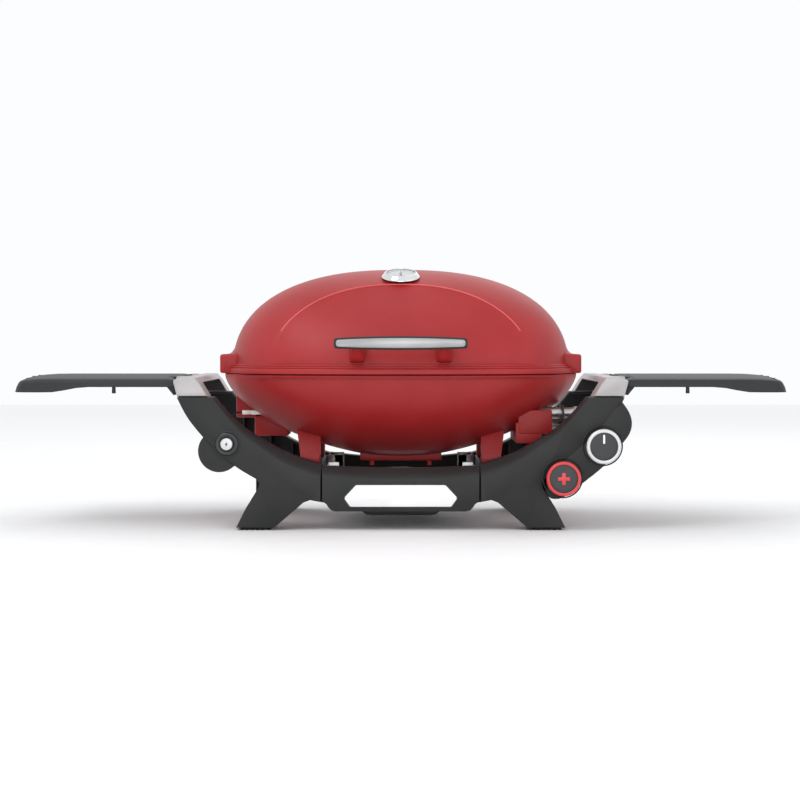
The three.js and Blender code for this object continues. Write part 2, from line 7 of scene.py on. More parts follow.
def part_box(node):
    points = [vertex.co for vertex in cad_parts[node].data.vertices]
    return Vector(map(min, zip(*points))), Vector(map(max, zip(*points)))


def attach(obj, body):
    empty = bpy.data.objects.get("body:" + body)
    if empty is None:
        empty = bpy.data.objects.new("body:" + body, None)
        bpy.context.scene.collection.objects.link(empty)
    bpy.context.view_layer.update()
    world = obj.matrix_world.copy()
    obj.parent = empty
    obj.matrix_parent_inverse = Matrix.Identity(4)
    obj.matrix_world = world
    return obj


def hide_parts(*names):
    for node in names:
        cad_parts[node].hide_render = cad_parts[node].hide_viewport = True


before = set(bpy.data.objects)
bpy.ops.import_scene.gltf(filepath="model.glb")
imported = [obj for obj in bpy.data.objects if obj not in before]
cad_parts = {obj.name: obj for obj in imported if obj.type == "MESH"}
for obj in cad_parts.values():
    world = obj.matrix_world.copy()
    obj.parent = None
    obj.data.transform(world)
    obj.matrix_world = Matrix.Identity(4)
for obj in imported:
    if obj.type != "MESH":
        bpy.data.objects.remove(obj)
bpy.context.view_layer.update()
mm = 0.001
# The cradle's middle lies a little behind the origin, because the handle stands out in front.
middleY = (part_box("left_front_leg")[0].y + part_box("left_rear_leg")[1].y) / 2
print("frame loaded, cradle middle at y =", round(middleY, 5))


def at(x, y, z):
    return Vector((x * mm, y * mm + middleY, z * mm))


def addNode(tree, kind, settings=None, links=None):
    node = tree.nodes.new(kind)
    for key, value in (settings or {}).items():
        if isinstance(key, str) and hasattr(node, key):
            setattr(node, key, value)
        else:
            node.inputs[key].default_value = value
    for key, source in (links or {}).items():
        if isinstance(source, (int, float)):
            node.inputs[key].default_value = source
        else:
            tree.links.new(source, node.inputs[key])
    return node


def colour(code):
    parts = [int(code[i:i + 2], 16) / 255 for i in (1, 3, 5)]
    return tuple(c / 12.92 if c <= 0.04045 else ((c + 0.055) / 1.055) ** 2.4 for c in parts) + (1.0,)


def surface(name, shader, tones, grainSize, grainDepth, stretch=(1, 1, 1), roughSpread=0.06,
            detail=4.0, blotchSize=60.0):
    # tones are the darker and lighter shade that the surface drifts between; sizes are in millimetres
    material = bpy.data.materials.new(name)
    material.use_nodes = True
    tree = material.node_tree
    tree.nodes.clear()
    output = addNode(tree, "ShaderNodeOutputMaterial")
    base = addNode(tree, "ShaderNodeBsdfPrincipled", shader)
    tree.links.new(base.outputs[0], output.inputs[0])
    place = addNode(tree, "ShaderNodeTexCoord")
    spread = addNode(tree, "ShaderNodeMapping", {"Scale": stretch}, {"Vector": place.outputs["Object"]})
    blotch = addNode(tree, "ShaderNodeTexNoise", {"Scale": 1000 / blotchSize, "Detail": 3.0},
                     {"Vector": place.outputs["Object"]})
    grain = addNode(tree, "ShaderNodeTexNoise", {"Scale": 1000 / grainSize, "Detail": detail},
                    {"Vector": spread.outputs[0]})
    mixed = addNode(tree, "ShaderNodeMath", {"operation": "MULTIPLY_ADD", 1: 0.45},
                    {0: grain.outputs[0], 2: blotch.outputs[0]})
    ramp = addNode(tree, "ShaderNodeValToRGB", None, {0: mixed.outputs[0]})
    ramp.color_ramp.elements[0].position = 0.45
    ramp.color_ramp.elements[1].position = 1.0
    ramp.color_ramp.elements[0].color = colour(tones[0])
    ramp.color_ramp.elements[1].color = colour(tones[1])
    tree.links.new(ramp.outputs[0], base.inputs["Base Color"])
    rough = shader.get("Roughness", 0.5)
    spreadRough = addNode(tree, "ShaderNodeMapRange",
                          {"To Min": rough - roughSpread, "To Max": rough + roughSpread},
                          {0: grain.outputs[0]})
    tree.links.new(spreadRough.outputs[0], base.inputs["Roughness"])
    bump = addNode(tree, "ShaderNodeBump", {"Strength": 0.6, "Distance": grainDepth * mm},
                   {"Height": grain.outputs[0]})
    tree.links.new(bump.outputs[0], base.inputs["Normal"])
    return material


# Porcelain enamel on cast aluminium: a satin red with a faint orange peel that softens highlights.
redEnamel = surface("porcelain_red", {"Roughness": 0.46, "IOR": 1.5, "Specular IOR Level": 0.42},
                    ("#9A1B1D", "#A52224"), 3.0, 0.05, detail=2.0)
# Paler enamel for the raised arched edge: a painted highlight where light catches the crease.
paintedHighlightEnamel = surface("painted_highlight_edge", {"Roughness": 0.4, "IOR": 1.5}, ("#CB4A4C", "#D65B5C"), 3.0, 0.03,
                     detail=2.0)
# Bare casting inside, browned by heat and fat: dull grey with dark blotches.
heatedCasting = surface("heat_darkened_casting", {"Roughness": 0.7, "Metallic": 0.4},
                        ("#2E2B29", "#4E4843"), 4.0, 0.3, blotchSize=35)
# Glass-filled nylon, moulded with a fine spark texture: matt black that greys where light rakes it.
blackNylon = surface("moulded_nylon", {"Roughness": 0.58, "IOR": 1.53, "Specular IOR Level": 0.4},
                     ("#1B1C1C", "#252526"),
                     1.2, 0.08, detail=5.0)
# The same nylon in the tables, a shade lighter from a coarser texture.
tableNylon = surface("table_nylon", {"Roughness": 0.55, "IOR": 1.53}, ("#151617", "#1F2021"),
                     1.6, 0.1, detail=5.0)
# Satin silver paint over moulded nylon: soft metallic glow with a fine flake.
silverPaint = surface("satin_silver", {"Roughness": 0.42, "Metallic": 0.35}, ("#A9A5A5", "#BDB9B9"),
                      0.9, 0.03)
# Brushed stainless: long fine scratches along X.
brushedSteel = surface("brushed_stainless", {"Roughness": 0.34, "Metallic": 0.75},
                       ("#999A9A", "#B3B4B4"), 1.0, 0.03, stretch=(0.03, 1, 1), roughSpread=0.1)
# The nameplate is the same steel with a bright clear coat.
plateSteel = surface("nameplate_steel", {"Roughness": 0.4, "Metallic": 0.2}, ("#EDEEEE", "#FAFAFA"), 1.0,
                     0.02, stretch=(0.03, 1, 1))
# Chromed die casting: near mirror, slightly softened.
chrome = surface("chrome", {"Roughness": 0.12, "Metallic": 1.0}, ("#D6D8D9", "#E6E8E9"), 6.0, 0.01,
                 roughSpread=0.03)
# Zinc-plated pressed steel: greyish with a faint crystal mottling.
platedSteel = surface("plated_steel", {"Roughness": 0.38, "Metallic": 0.9}, ("#A6A7A8", "#C4C5C6"),
                      5.0, 0.03, blotchSize=18)
# Stainless burner tube, slightly dulled by heat.
burnerSteel = surface("burner_stainless", {"Roughness": 0.36, "Metallic": 0.95},
                      ("#A9A7A4", "#D0CECA"), 8.0, 0.05, blotchSize=45)
# Dark grey steel for the burner holder.
darkSteel = surface("dark_grey_steel", {"Roughness": 0.5, "Metallic": 0.6}, ("#343434", "#454443"),
                    4.0, 0.05, blotchSize=20)
# Enamelled cast iron: sandy matt black.
castIron = surface("enamelled_iron", {"Roughness": 0.62, "Metallic": 0.2}, ("#1B1B1B", "#2B2A29"),
                   1.5, 0.25)
brass = surface("turned_brass", {"Roughness": 0.3, "Metallic": 1.0}, ("#A98A45", "#C6A65C"), 2.0, 0.02)
rubber = surface("foot_rubber", {"Roughness": 0.85}, ("#141414", "#1F1F1F"), 1.5, 0.1)
# Gloss ABS, black and red: smooth, with faint moulding swirl.
glossBlack = surface("gloss_black_abs", {"Roughness": 0.28, "IOR": 1.54}, ("#222324", "#2C2D2E"),
                     9.0, 0.02, roughSpread=0.04)
knobFace = surface("knob_face_abs", {"Roughness": 0.45, "IOR": 1.54}, ("#26292A", "#303334"),
                   1.4, 0.04)
redPlastic = surface("red_abs", {"Roughness": 0.35, "IOR": 1.54}, ("#CF3438", "#E04347"), 7.0, 0.02)
silverPlastic = surface("silver_abs", {"Roughness": 0.35, "Metallic": 0.3}, ("#CFD0D1", "#E2E3E3"),
                        3.0, 0.02)
whiteInk = surface("white_print", {"Roughness": 0.5}, ("#F0F0F0", "#FBFBFB"), 4.0, 0.01)
blackInk = surface("black_print", {"Roughness": 0.5}, ("#111111", "#1B1B1B"), 4.0, 0.01)
ceramic = surface("glazed_ceramic", {"Roughness": 0.2, "IOR": 1.6}, ("#E6E3DA", "#F4F2EC"), 6.0, 0.02)
# Rolled aluminium foil, crinkled as it was pressed into its tray.
foil = surface("pressed_foil", {"Roughness": 0.26, "Metallic": 1.0}, ("#C6C8CA", "#E2E4E5"), 9.0, 0.9)
dialGlass = bpy.data.materials.new("dial_glass")
dialGlass.use_nodes = True
glassShader = dialGlass.node_tree.nodes["Principled BSDF"]
glassShader.inputs["Roughness"].default_value = 0.03
glassShader.inputs["Transmission Weight"].default_value = 1.0
glassShader.inputs["IOR"].default_value = 1.2
print("materials made")


def linkPiece(name, mesh, material, body, replaces=(), smooth=35):
    if not isinstance(material, (list, tuple)):
        mesh.materials.clear()
        mesh.materials.append(material)
        for face in mesh.polygons:
            face.material_index = 0
    piece = bpy.data.objects.new(name, mesh)
    bpy.context.scene.collection.objects.link(piece)
    shade(piece, smooth)
    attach(piece, body)
    if replaces:
        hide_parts(*replaces)
    return piece


def shade(piece, angle):
    # smooth faces, with edges sharper than the angle kept crisp
    mesh = piece.data
    for face in mesh.polygons:
        face.use_smooth = True
    mesh.set_sharp_from_angle(angle=math.radians(angle))


def looseObject(name, mesh):
    thing = bpy.data.objects.new(name, mesh)
    bpy.context.scene.collection.objects.link(thing)
    return thing


def meshOf(bm, name="shape"):
    bmesh.ops.recalc_face_normals(bm, faces=bm.faces)
    mesh = bpy.data.meshes.new(name)
    bm.to_mesh(mesh)
    bm.free()
    return mesh


def settled(thing):
    # the mesh with its modifiers applied; the helper object goes
    graph = bpy.context.evaluated_depsgraph_get()
    mesh = bpy.data.meshes.new_from_object(thing.evaluated_get(graph))
    bpy.data.objects.remove(thing)
    return mesh


def rounded(mesh, width, segments=3, angle=40):
    thing = looseObject("rounding", mesh)
    bevel = thing.modifiers.new("edges", "BEVEL")
    bevel.width = width * mm
    bevel.segments = segments
    bevel.limit_method = "ANGLE"
    bevel.angle_limit = math.radians(angle)
    return settled(thing)


def carved(mesh, cutters, operation="DIFFERENCE"):
    thing = looseObject("carving", mesh)
    tools = []
    for cutter in cutters:
        tool = looseObject("tool", cutter)
        step = thing.modifiers.new("cut", "BOOLEAN")
        step.operation = operation
        step.object = tool
        step.solver = "EXACT"
        tools.append(tool)
    result = settled(thing)
    for tool in tools:
        bpy.data.objects.remove(tool)
    return result


def joined(*meshes):
    # several closed shells as one mesh, keeping each one's material slots
    bm = bmesh.new()
    materials = []
    for mesh in meshes:
        start = len(bm.faces)
        bm.from_mesh(mesh)
        bm.faces.ensure_lookup_table()
        own = [item for item in mesh.materials if item]
        for item in own:
            if item not in materials:
                materials.append(item)
        for face in bm.faces[start:]:
            face.material_index = materials.index(own[face.material_index]) if face.material_index < len(own) else 0
    result = bpy.data.meshes.new("joined")
    bm.to_mesh(result)
    bm.free()
    for item in materials:
        result.materials.append(item)
    return result


def prism(points, axis, start, end):
    # an outline of (a, b) points drawn out along the axis between start and end
    order = {"x": lambda a, b, t: (t, a, b), "y": lambda a, b, t: (a, t, b), "z": lambda a, b, t: (a, b, t)}
    bm = bmesh.new()
    rings = [[bm.verts.new(at(*order[axis](a, b, t))) for a, b in points] for t in (start, end)]
    bm.faces.new(rings[0])
    bm.faces.new(list(reversed(rings[1])))
    for i in range(len(points)):
        k = (i + 1) % len(points)
        bm.faces.new((rings[0][i], rings[1][i], rings[1][k], rings[0][k]))
    return meshOf(bm)


def boxMesh(x0, x1, y0, y1, z0, z1):
    return prism([(x0, y0), (x1, y0), (x1, y1), (x0, y1)], "z", z0, z1)


def turned(profile, centre, axis, sides=64):
    # a profile of (radius, height) points turned about an axis through the centre
    turn = Vector((0, 0, 1)).rotation_difference(Vector(axis)).to_matrix()
    bm = bmesh.new()
    rings = []
    for radius, height in profile:
        if radius < 1e-6:
            rings.append([bm.verts.new(at(*(Vector(centre) + turn @ Vector((0, 0, height)))))])
            continue
        ring = []
        for i in range(sides):
            angle = 2 * math.pi * i / sides
            spot = Vector((radius * math.cos(angle), radius * math.sin(angle), height))
            ring.append(bm.verts.new(at(*(Vector(centre) + turn @ spot))))
        rings.append(ring)
    for low, high in zip(rings, rings[1:]):
        for i in range(sides):
            k = (i + 1) % sides
            if len(low) == 1:
                bm.faces.new((low[0], high[i], high[k]))
            elif len(high) == 1:
                bm.faces.new((low[i], low[k], high[0]))
            else:
                bm.faces.new((low[i], low[k], high[k], high[i]))
    if len(rings[0]) > 1 and len(rings[-1]) > 1:
        for i in range(sides):
            k = (i + 1) % sides
            bm.faces.new((rings[-1][i], rings[-1][k], rings[0][k], rings[0][i]))
    return meshOf(bm)


def tube(points, radius, sides=16, steps=10):
    # a round bar along a smooth curve through the points, closed at both ends
    curve = bpy.data.curves.new("route", "CURVE")
    curve.dimensions = "3D"
    curve.bevel_depth = radius * mm
    curve.bevel_resolution = sides // 4
    curve.use_fill_caps = True
    line = curve.splines.new("BEZIER")
    line.bezier_points.add(len(points) - 1)
    line.resolution_u = steps
    for knot, point in zip(line.bezier_points, points):
        knot.co = at(*point)
        knot.handle_left_type = knot.handle_right_type = "AUTO"
    return settled(looseObject("route", curve))


def arc(centreA, centreB, radius, startDeg, endDeg, steps=8):
    return [(centreA + radius * math.cos(math.radians(startDeg + (endDeg - startDeg) * i / steps)),
             centreB + radius * math.sin(math.radians(startDeg + (endDeg - startDeg) * i / steps)))
            for i in range(steps + 1)]


def smoothLine(points, steps=6):
    # a smooth curve through the given points
    result = []
    for i in range(len(points) - 1):
        p0 = Vector(points[max(i - 1, 0)])
        p1, p2 = Vector(points[i]), Vector(points[i + 1])
        p3 = Vector(points[min(i + 2, len(points) - 1)])
        for s in range(steps):
            t = s / steps
            spot = 0.5 * (2 * p1 + (p2 - p0) * t + (2 * p0 - 5 * p1 + 4 * p2 - p3) * t * t
                          + (3 * p1 - p0 - 3 * p2 + p3) * t ** 3)
            result.append(tuple(spot))
    result.append(tuple(points[-1]))
    return result


def inset(points, distance):
    # the outline moved inwards along its corner bisectors; points run anticlockwise
    result = []
    for i in range(len(points)):
        before, here, after = (Vector(points[k % len(points)]) for k in (i - 1, i, i + 1))
        first, second = (here - before).normalized(), (after - here).normalized()
        normal = Vector((-first.y - second.y, first.x + second.x))
        stretch = max(0.35, 1 + first.dot(second))
        result.append(tuple(here + normal * distance / stretch))
    return result


def anticlockwise(points):
    area = sum(a[0] * b[1] - b[0] * a[1] for a, b in zip(points, points[1:] + points[:1]))
    return points if area > 0 else list(reversed(points))


def loft(rings, closed=True):
    # equal-length rings of points joined in order, with flat ends
    bm = bmesh.new()
    verts = [[bm.verts.new(at(*p)) for p in ring] for ring in rings]
    for low, high in zip(verts, verts[1:]):
        for i in range(len(low)):
            k = (i + 1) % len(low)
            bm.faces.new((low[i], low[k], high[k], high[i]))
    if closed:
        bm.faces.new(verts[0])
        bm.faces.new(list(reversed(verts[-1])))
    return meshOf(bm)


def moulding(outline, front, back, edge=1.6):
    # a thick plate in X and Z whose front edge slopes; a point may carry its own slope width, or its
    # own sideways shift as two numbers
    outline = anticlockwise(outline)
    bare = [point[:2] for point in outline]
    shifts = []
    for point, moved in zip(outline, inset(bare, 1.0)):
        inwards = Vector(moved) - Vector(point[:2])
        own = {2: lambda: inwards * edge, 3: lambda: inwards * point[2], 4: lambda: Vector(point[2:])}
        shifts.append(own[len(point)]())
    sign = 1 if back > front else -1
    rings = []
    narrow = ((0, 1.0), (0.08, 0.86), (0.5, 0.36), (0.8, 0.1), (1, 0.0))
    broad = ((0, 1.12), (0.04, 1.0), (0.5, 0.5), (0.85, 0.15), (1, 0.0))
    for (depthA, shareA), (depthB, shareB) in zip(narrow, broad):
        ring = []
        for (x, z), shift in zip(bare, shifts):
            beyond = max(0, shift.length - edge)
            flat = min(1, beyond / 8)
            share = shareA + (shareB - shareA) * flat
            deep = (depthA + (depthB - depthA) * flat) * min(22, edge + 1.5 * beyond)
            ring.append((x + shift.x * share, front + sign * deep, z + shift.y * share))
        rings.append(ring)
    rings.append([(x, back - sign * edge, z) for x, z in bare])
    rings.append([(x, back, z) for x, z in inset(bare, edge)])
    return loft(rings)


print("helpers ready")


# The lid and the cookbox are shells of one oval rule.
shellShape = {"plan power": 2.6, "segments": 256, "rings": 144}
lidShape = {"Half Width": 295, "Half Depth": 228, "Rise": 181, "Side Power": 2.4, "Front Power": 1.85,
            "Base": 258, "Face Half Width": 225, "Face Height": 152, "Face Sink": 11.0}
bowlShape = {"Half Width": 308, "Half Depth": 223, "Rise": -148.5, "Side Power": 1.65,
             "Front Power": 1.75, "Base": 257, "Face Half Width": 282, "Face Height": 133,
             "Face Sink": 10.0}


def ovalShellTree():
    # half a sphere drawn to an oval; its front has a flatter face inside an arched crease
    tree = bpy.data.node_groups.new("ovalShell", "GeometryNodeTree")
    for name in ("Half Width", "Half Depth", "Rise", "Plan Power", "Side Power", "Front Power", "Base",
                 "Face Half Width", "Face Height", "Face Sink"):
        tree.interface.new_socket(name, in_out="INPUT", socket_type="NodeSocketFloat")
    for name in ("Segments", "Rings"):
        tree.interface.new_socket(name, in_out="INPUT", socket_type="NodeSocketInt")
    tree.interface.new_socket("Finish", in_out="INPUT", socket_type="NodeSocketMaterial")
    tree.interface.new_socket("Geometry", in_out="OUTPUT", socket_type="NodeSocketGeometry")
    given = addNode(tree, "NodeGroupInput").outputs
    ball = addNode(tree, "GeometryNodeMeshUVSphere", {"Radius": 1.0},
                   {"Segments": given["Segments"], "Rings": given["Rings"]})
    spot = addNode(tree, "ShaderNodeSeparateXYZ", None,
                   {0: addNode(tree, "GeometryNodeInputPosition").outputs[0]})
    below = addNode(tree, "ShaderNodeMath", {"operation": "LESS_THAN", 1: -0.001}, {0: spot.outputs[2]})
    half = addNode(tree, "GeometryNodeDeleteGeometry", None,
                   {"Geometry": ball.outputs[0], "Selection": below.outputs[0]})
    value = {name: given[name] for name in ("Half Width", "Half Depth", "Rise", "Plan Power", "Side Power",
             "Front Power", "Base", "Face Half Width", "Face Height", "Face Sink")}
    value.update(x=spot.outputs[0], y=spot.outputs[1], z=spot.outputs[2])
    steps = [
        ("turn", "ARCTAN2", "y", "x"), ("cos", "COSINE", "turn", 0), ("sin", "SINE", "turn", 0),
        ("sin2", "MULTIPLY", "sin", "sin"), ("span", "SUBTRACT", "Front Power", "Side Power"),
        ("lean", "MULTIPLY", "span", "sin2"), ("power", "ADD", "Side Power", "lean"),
        ("inverse", "DIVIDE", 2, "power"), ("planInverse", "DIVIDE", 2, "Plan Power"),
        ("xx", "MULTIPLY", "x", "x"), ("yy", "MULTIPLY", "y", "y"), ("rr", "ADD", "xx", "yy"),
        ("flat", "SQRT", "rr", 0), ("reach", "POWER", "flat", "inverse"),
        ("level", "ABSOLUTE", "z", 0), ("up", "POWER", "level", "inverse"),
        ("cosAbs", "ABSOLUTE", "cos", 0), ("cosPower", "POWER", "cosAbs", "planInverse"),
        ("cosSign", "SIGN", "cos", 0), ("planX", "MULTIPLY", "cosPower", "cosSign"),
        ("sinAbs", "ABSOLUTE", "sin", 0), ("sinPower", "POWER", "sinAbs", "planInverse"),
        ("sinSign", "SIGN", "sin", 0), ("planY", "MULTIPLY", "sinPower", "sinSign"),
        ("acrossX", "MULTIPLY", "planX", "reach"), ("acrossY", "MULTIPLY", "planY", "reach"),
        ("outX", "MULTIPLY", "acrossX", "Half Width"), ("outY", "MULTIPLY", "acrossY", "Half Depth"),
        ("climb", "MULTIPLY", "up", "Rise"), ("outZ", "ADD", "climb", "Base"),
        ("faceX", "DIVIDE", "outX", "Face Half Width"), ("faceXa", "ABSOLUTE", "faceX", 0),
        ("faceXp", "POWER", "faceXa", 2.3), ("faceZ", "DIVIDE", "climb", "Face Height"),
        ("faceZa", "ABSOLUTE", "faceZ", 0), ("faceZp", "POWER", "faceZa", 2.0),
        ("ring", "ADD", "faceXp", "faceZp"), ("inside", "SUBTRACT", 1, "ring"),
        ("insideUp", "MAXIMUM", "inside", 0), ("steep", "MULTIPLY", "insideUp", 2.6),
        ("ramp", "MINIMUM", "steep", 1), ("rest", "SUBTRACT", 1, "ramp"), ("rest2", "MULTIPLY", "rest", "rest"),
        ("eased", "SUBTRACT", 1, "rest2"), ("front", "LESS_THAN", "outY", 0),
        ("easedFront", "MULTIPLY", "eased", "front"), ("sink", "MULTIPLY", "easedFront", "Face Sink"),
        ("finalY", "ADD", "outY", "sink"),
    ]
    for name, operation, first, second in steps:
        node = addNode(tree, "ShaderNodeMath", {"operation": operation},
                       {0: value.get(first, first), 1: value.get(second, second)})
        value[name] = node.outputs[0]
    placed = addNode(tree, "ShaderNodeCombineXYZ", None,
                     {0: value["outX"], 1: value["finalY"], 2: value["outZ"]})
    moved = addNode(tree, "GeometryNodeSetPosition", None,
                    {"Geometry": half.outputs[0], "Position": placed.outputs[0]})
    scaled = addNode(tree, "GeometryNodeTransform", {"Scale": (mm, mm, mm), "Translation": (0, middleY, 0)},
                     {"Geometry": moved.outputs[0]})
    real = addNode(tree, "GeometryNodeRealizeInstances", None, {0: scaled.outputs[0]})
    painted = addNode(tree, "GeometryNodeSetMaterial", None,
                      {"Geometry": real.outputs[0], "Material": given["Finish"]})
    addNode(tree, "NodeGroupOutput", None, {0: painted.outputs[0]})
    return tree


def fromTree(tree, values):
    # runs a geometry tree on an empty mesh and returns the plain mesh it makes
    thing = looseObject("grown", bpy.data.meshes.new("seed"))
    grow = thing.modifiers.new("grow", "NODES")
    grow.node_group = tree
    sockets = {item.name: item.identifier for item in tree.interface.items_tree if item.in_out == "INPUT"}
    for name, setting in values.items():
        grow[sockets[name]] = setting
    return settled(thing)


shellTree = ovalShellTree()


def shellMesh(shape, wall, inside):
    values = {name: float(size) for name, size in shape.items()}
    values.update({"Plan Power": shellShape["plan power"], "Segments": shellShape["segments"],
                   "Rings": shellShape["rings"], "Finish": redEnamel})
    mesh = fromTree(shellTree, values)
    bm = bmesh.new()
    bm.from_mesh(mesh)
    bmesh.ops.remove_doubles(bm, verts=bm.verts, dist=1e-6)
    skin = meshOf(bm)
    centre = Vector((0, middleY, shape["Base"] * mm))
    outward = sum(1 if face.normal.dot(face.center - centre) > 0 else -1 for face in skin.polygons)
    if outward < 0:
        skin.flip_normals()
    for face in skin.polygons:
        face.material_index = 0
    skin.materials.append(redEnamel)
    skin.materials.append(inside)
    thing = looseObject("walling", skin)
    solidify = thing.modifiers.new("wall", "SOLIDIFY")
    solidify.thickness = wall * mm
    solidify.offset = -1
    solidify.material_offset = 1
    return settled(thing)


def ovalRing(halfX, halfY, z, count=256):
    points = []
    for i in range(count):
        turn = 2 * math.pi * i / count
        c, s = math.cos(turn), math.sin(turn)
        power = 2 / shellShape["plan power"]
        points.append((math.copysign(abs(c) ** power, c) * halfX,
                       math.copysign(abs(s) ** power, s) * halfY, z))
    return points


def ovalBand(section, count=256):
    # a closed section of (outward offset, height) points carried round the oval rim
    bm = bmesh.new()
    rings = [[bm.verts.new(at(*p)) for p in ovalRing(halfX, halfY, z, count)] for halfX, halfY, z in section]
    for low, high in zip(rings, rings[1:] + rings[:1]):
        for i in range(count):
            k = (i + 1) % count
            bm.faces.new((low[i], low[k], high[k], high[i]))
    return meshOf(bm)


lidRim = {"halfX": 306, "halfY": 231}


def lidRimMesh():
    # the rolled rim: a flat band, a bead on top of it and a finer one where the dome starts
    r, d = lidRim["halfX"], lidRim["halfY"]
    section = [(r - 16, d - 12, 258.3), (r - 2, d - 2, 258.1), (r - 0.4, d - 0.4, 258.8), (r, d, 260.5),
               (r, d, 265.6), (r - 0.8, d - 0.8, 266.9), (r - 2.4, d - 2.2, 267.3), (r - 3.4, d - 2.8, 267.8),
               (r - 2.8, d - 2.2, 269.0), (r - 3.8, d - 3.0, 270.3), (r - 5.8, d - 4.4, 270.8),
               (r - 6.8, d - 5.1, 271.0), (r - 6.3, d - 4.6, 272.2), (r - 7.4, d - 5.6, 273.6),
               (r - 9.6, d - 7.4, 274.3), (r - 20, d - 14, 274.4)]
    return ovalBand(section)


gaugeAt = (0, -87, 422.9)
gaugeTilt = math.radians(17)
gaugeTurn = Matrix.Rotation(gaugeTilt, 3, "X")

lidEar = {"reach": 311, "half": 92, "top": 290.5}


def domeAt(y, z):
    # how far out the dome's surface is at this depth and height
    up = max(0.0, (z - lidShape["Base"]) / lidShape["Rise"])
    reach = (1 - up ** lidShape["Side Power"]) ** (1 / lidShape["Side Power"])
    power = shellShape["plan power"]
    flat = max(0.0, reach ** power - abs(y / lidShape["Half Depth"]) ** power)
    return lidShape["Half Width"] * flat ** (1 / power)


def lidEarMesh(side):
    # the boxy shoulder over each table hinge, flowing up into the dome with a hollow curve
    rings = []
    stations = [(-1.0, 4.5), (-0.992, 2.2), (-0.975, 0.7), (-0.95, 0.0)]
    stations += [(t / 8, 0.0) for t in range(-7, 8)] + [(-t, drop) for t, drop in reversed(stations)]
    for share, drop in stations:
        y = share * lidEar["half"]
        reach, top = lidEar["reach"] - drop, lidEar["top"] - drop
        lift = 24 * (1 - 0.85 * share ** 6)
        foot = domeAt(y, top + 3) + 7 * lift / 24
        outline = arc(reach - 4, 262.2 + drop * 0.3, 4, -90, 0, 5) + arc(reach - 4.4, top - 4, 4.4, 0, 84, 6)
        outline.append((max(foot + 2, reach - 12), top + 0.6))
        start = (foot, top + 1.6)
        bend = (domeAt(y, top + lift / 4) + 0.8, top + 1.6 + lift * 0.075)
        finish = (domeAt(y, top + lift) - 1.5, top + lift)
        for i in range(8):
            t = i / 7
            outline.append(tuple(start[k] * (1 - t) ** 2 + 2 * bend[k] * t * (1 - t) + finish[k] * t * t
                                 for k in (0, 1)))
        outline += [(domeAt(y, top + lift) - 3.5, top + lift - 1), (domeAt(y, 262) - 3.5, 258.2)]
        rings.append([(side * x, y, z) for x, z in outline])
    return loft(rings)


def creaseLine(count=72):
    # where the arched edge of the lid's front face runs over the dome
    shape = lidShape
    planPower = 2 / shellShape["plan power"]
    points = []
    for i in range(count + 1):
        turn = math.radians(-158 + 136 * i / count)
        power = shape["Side Power"] + (shape["Front Power"] - shape["Side Power"]) * math.sin(turn) ** 2
        across = math.copysign(abs(math.cos(turn)) ** planPower, math.cos(turn)) * shape["Half Width"]
        deep = abs(math.sin(turn)) ** planPower * shape["Half Depth"]
        low, high = 0.0, 1.0
        for _ in range(40):
            up = (low + high) / 2
            reach = (1 - up ** power) ** (1 / power)
            wide = abs(across * reach) / shape["Face Half Width"]
            past = wide ** 2.3 + (up * shape["Rise"] / shape["Face Height"]) ** 2 > 1
            low, high = (low, up) if past else (up, high)
        if low > 0.12:
            points.append((across * reach, -deep * reach + 0.5, shape["Base"] + low * shape["Rise"]))
    return points


def creaseBead():
    line = creaseLine()
    first, last = line[0], line[-1]
    # both ends dive under the skin, so that the edge fades out
    line[0] = (first[0], first[1] + 3, first[2])
    line[-1] = (last[0], last[1] + 3, last[2])
    return tube(line, 1.5, 12, 2)


def buildLid():
    shell = shellMesh(lidShape, 4.5, heatedCasting)
    hinge = []
    for side in (-1, 1):
        lug = [(200, 264), (232, 256.5)] + arc(240, 263, 7.9, -70, 90, 8) + [(222, 284), (200, 290)]
        hinge.append(rounded(prism(lug, "x", side * 130 - 7.8, side * 130 + 7.8), 1.2, 2))
    gaugeHole = turned([(0, -40), (8.5, -40), (8.5, 40), (0, 40)], gaugeAt,
                       (0, -math.sin(gaugeTilt), math.cos(gaugeTilt)), 48)
    shell = carved(shell, [gaugeHole])
    parts = [shell, lidRimMesh(), lidEarMesh(-1), lidEarMesh(1)] + hinge
    for mesh in parts[1:]:
        if not mesh.materials:
            mesh.materials.append(redEnamel)
    linkPiece("lid_casting", joined(*parts), (redEnamel, heatedCasting), "lid", ("lid",), 40)
    # the crease bead takes the paler enamel, a painted highlight along the arched edge
    linkPiece("lid_arched_edge", creaseBead(), paintedHighlightEnamel, "lid")
    print("lid made")


def bowlHollow():
    # a closed solid a little inside the cookbox's outer skin
    values = {name: float(size) for name, size in bowlShape.items()}
    values.update({"Half Width": 305.0, "Half Depth": 220.0, "Rise": -145.5, "Plan Power": 2.6, "Segments": 96,
                   "Rings": 48, "Finish": redEnamel, "Base": 257.0})
    bm = bmesh.new()
    bm.from_mesh(fromTree(shellTree, values))
    bmesh.ops.remove_doubles(bm, verts=bm.verts, dist=1e-6)
    bmesh.ops.holes_fill(bm, edges=[edge for edge in bm.edges if edge.is_boundary], sides=0)
    return meshOf(bm)


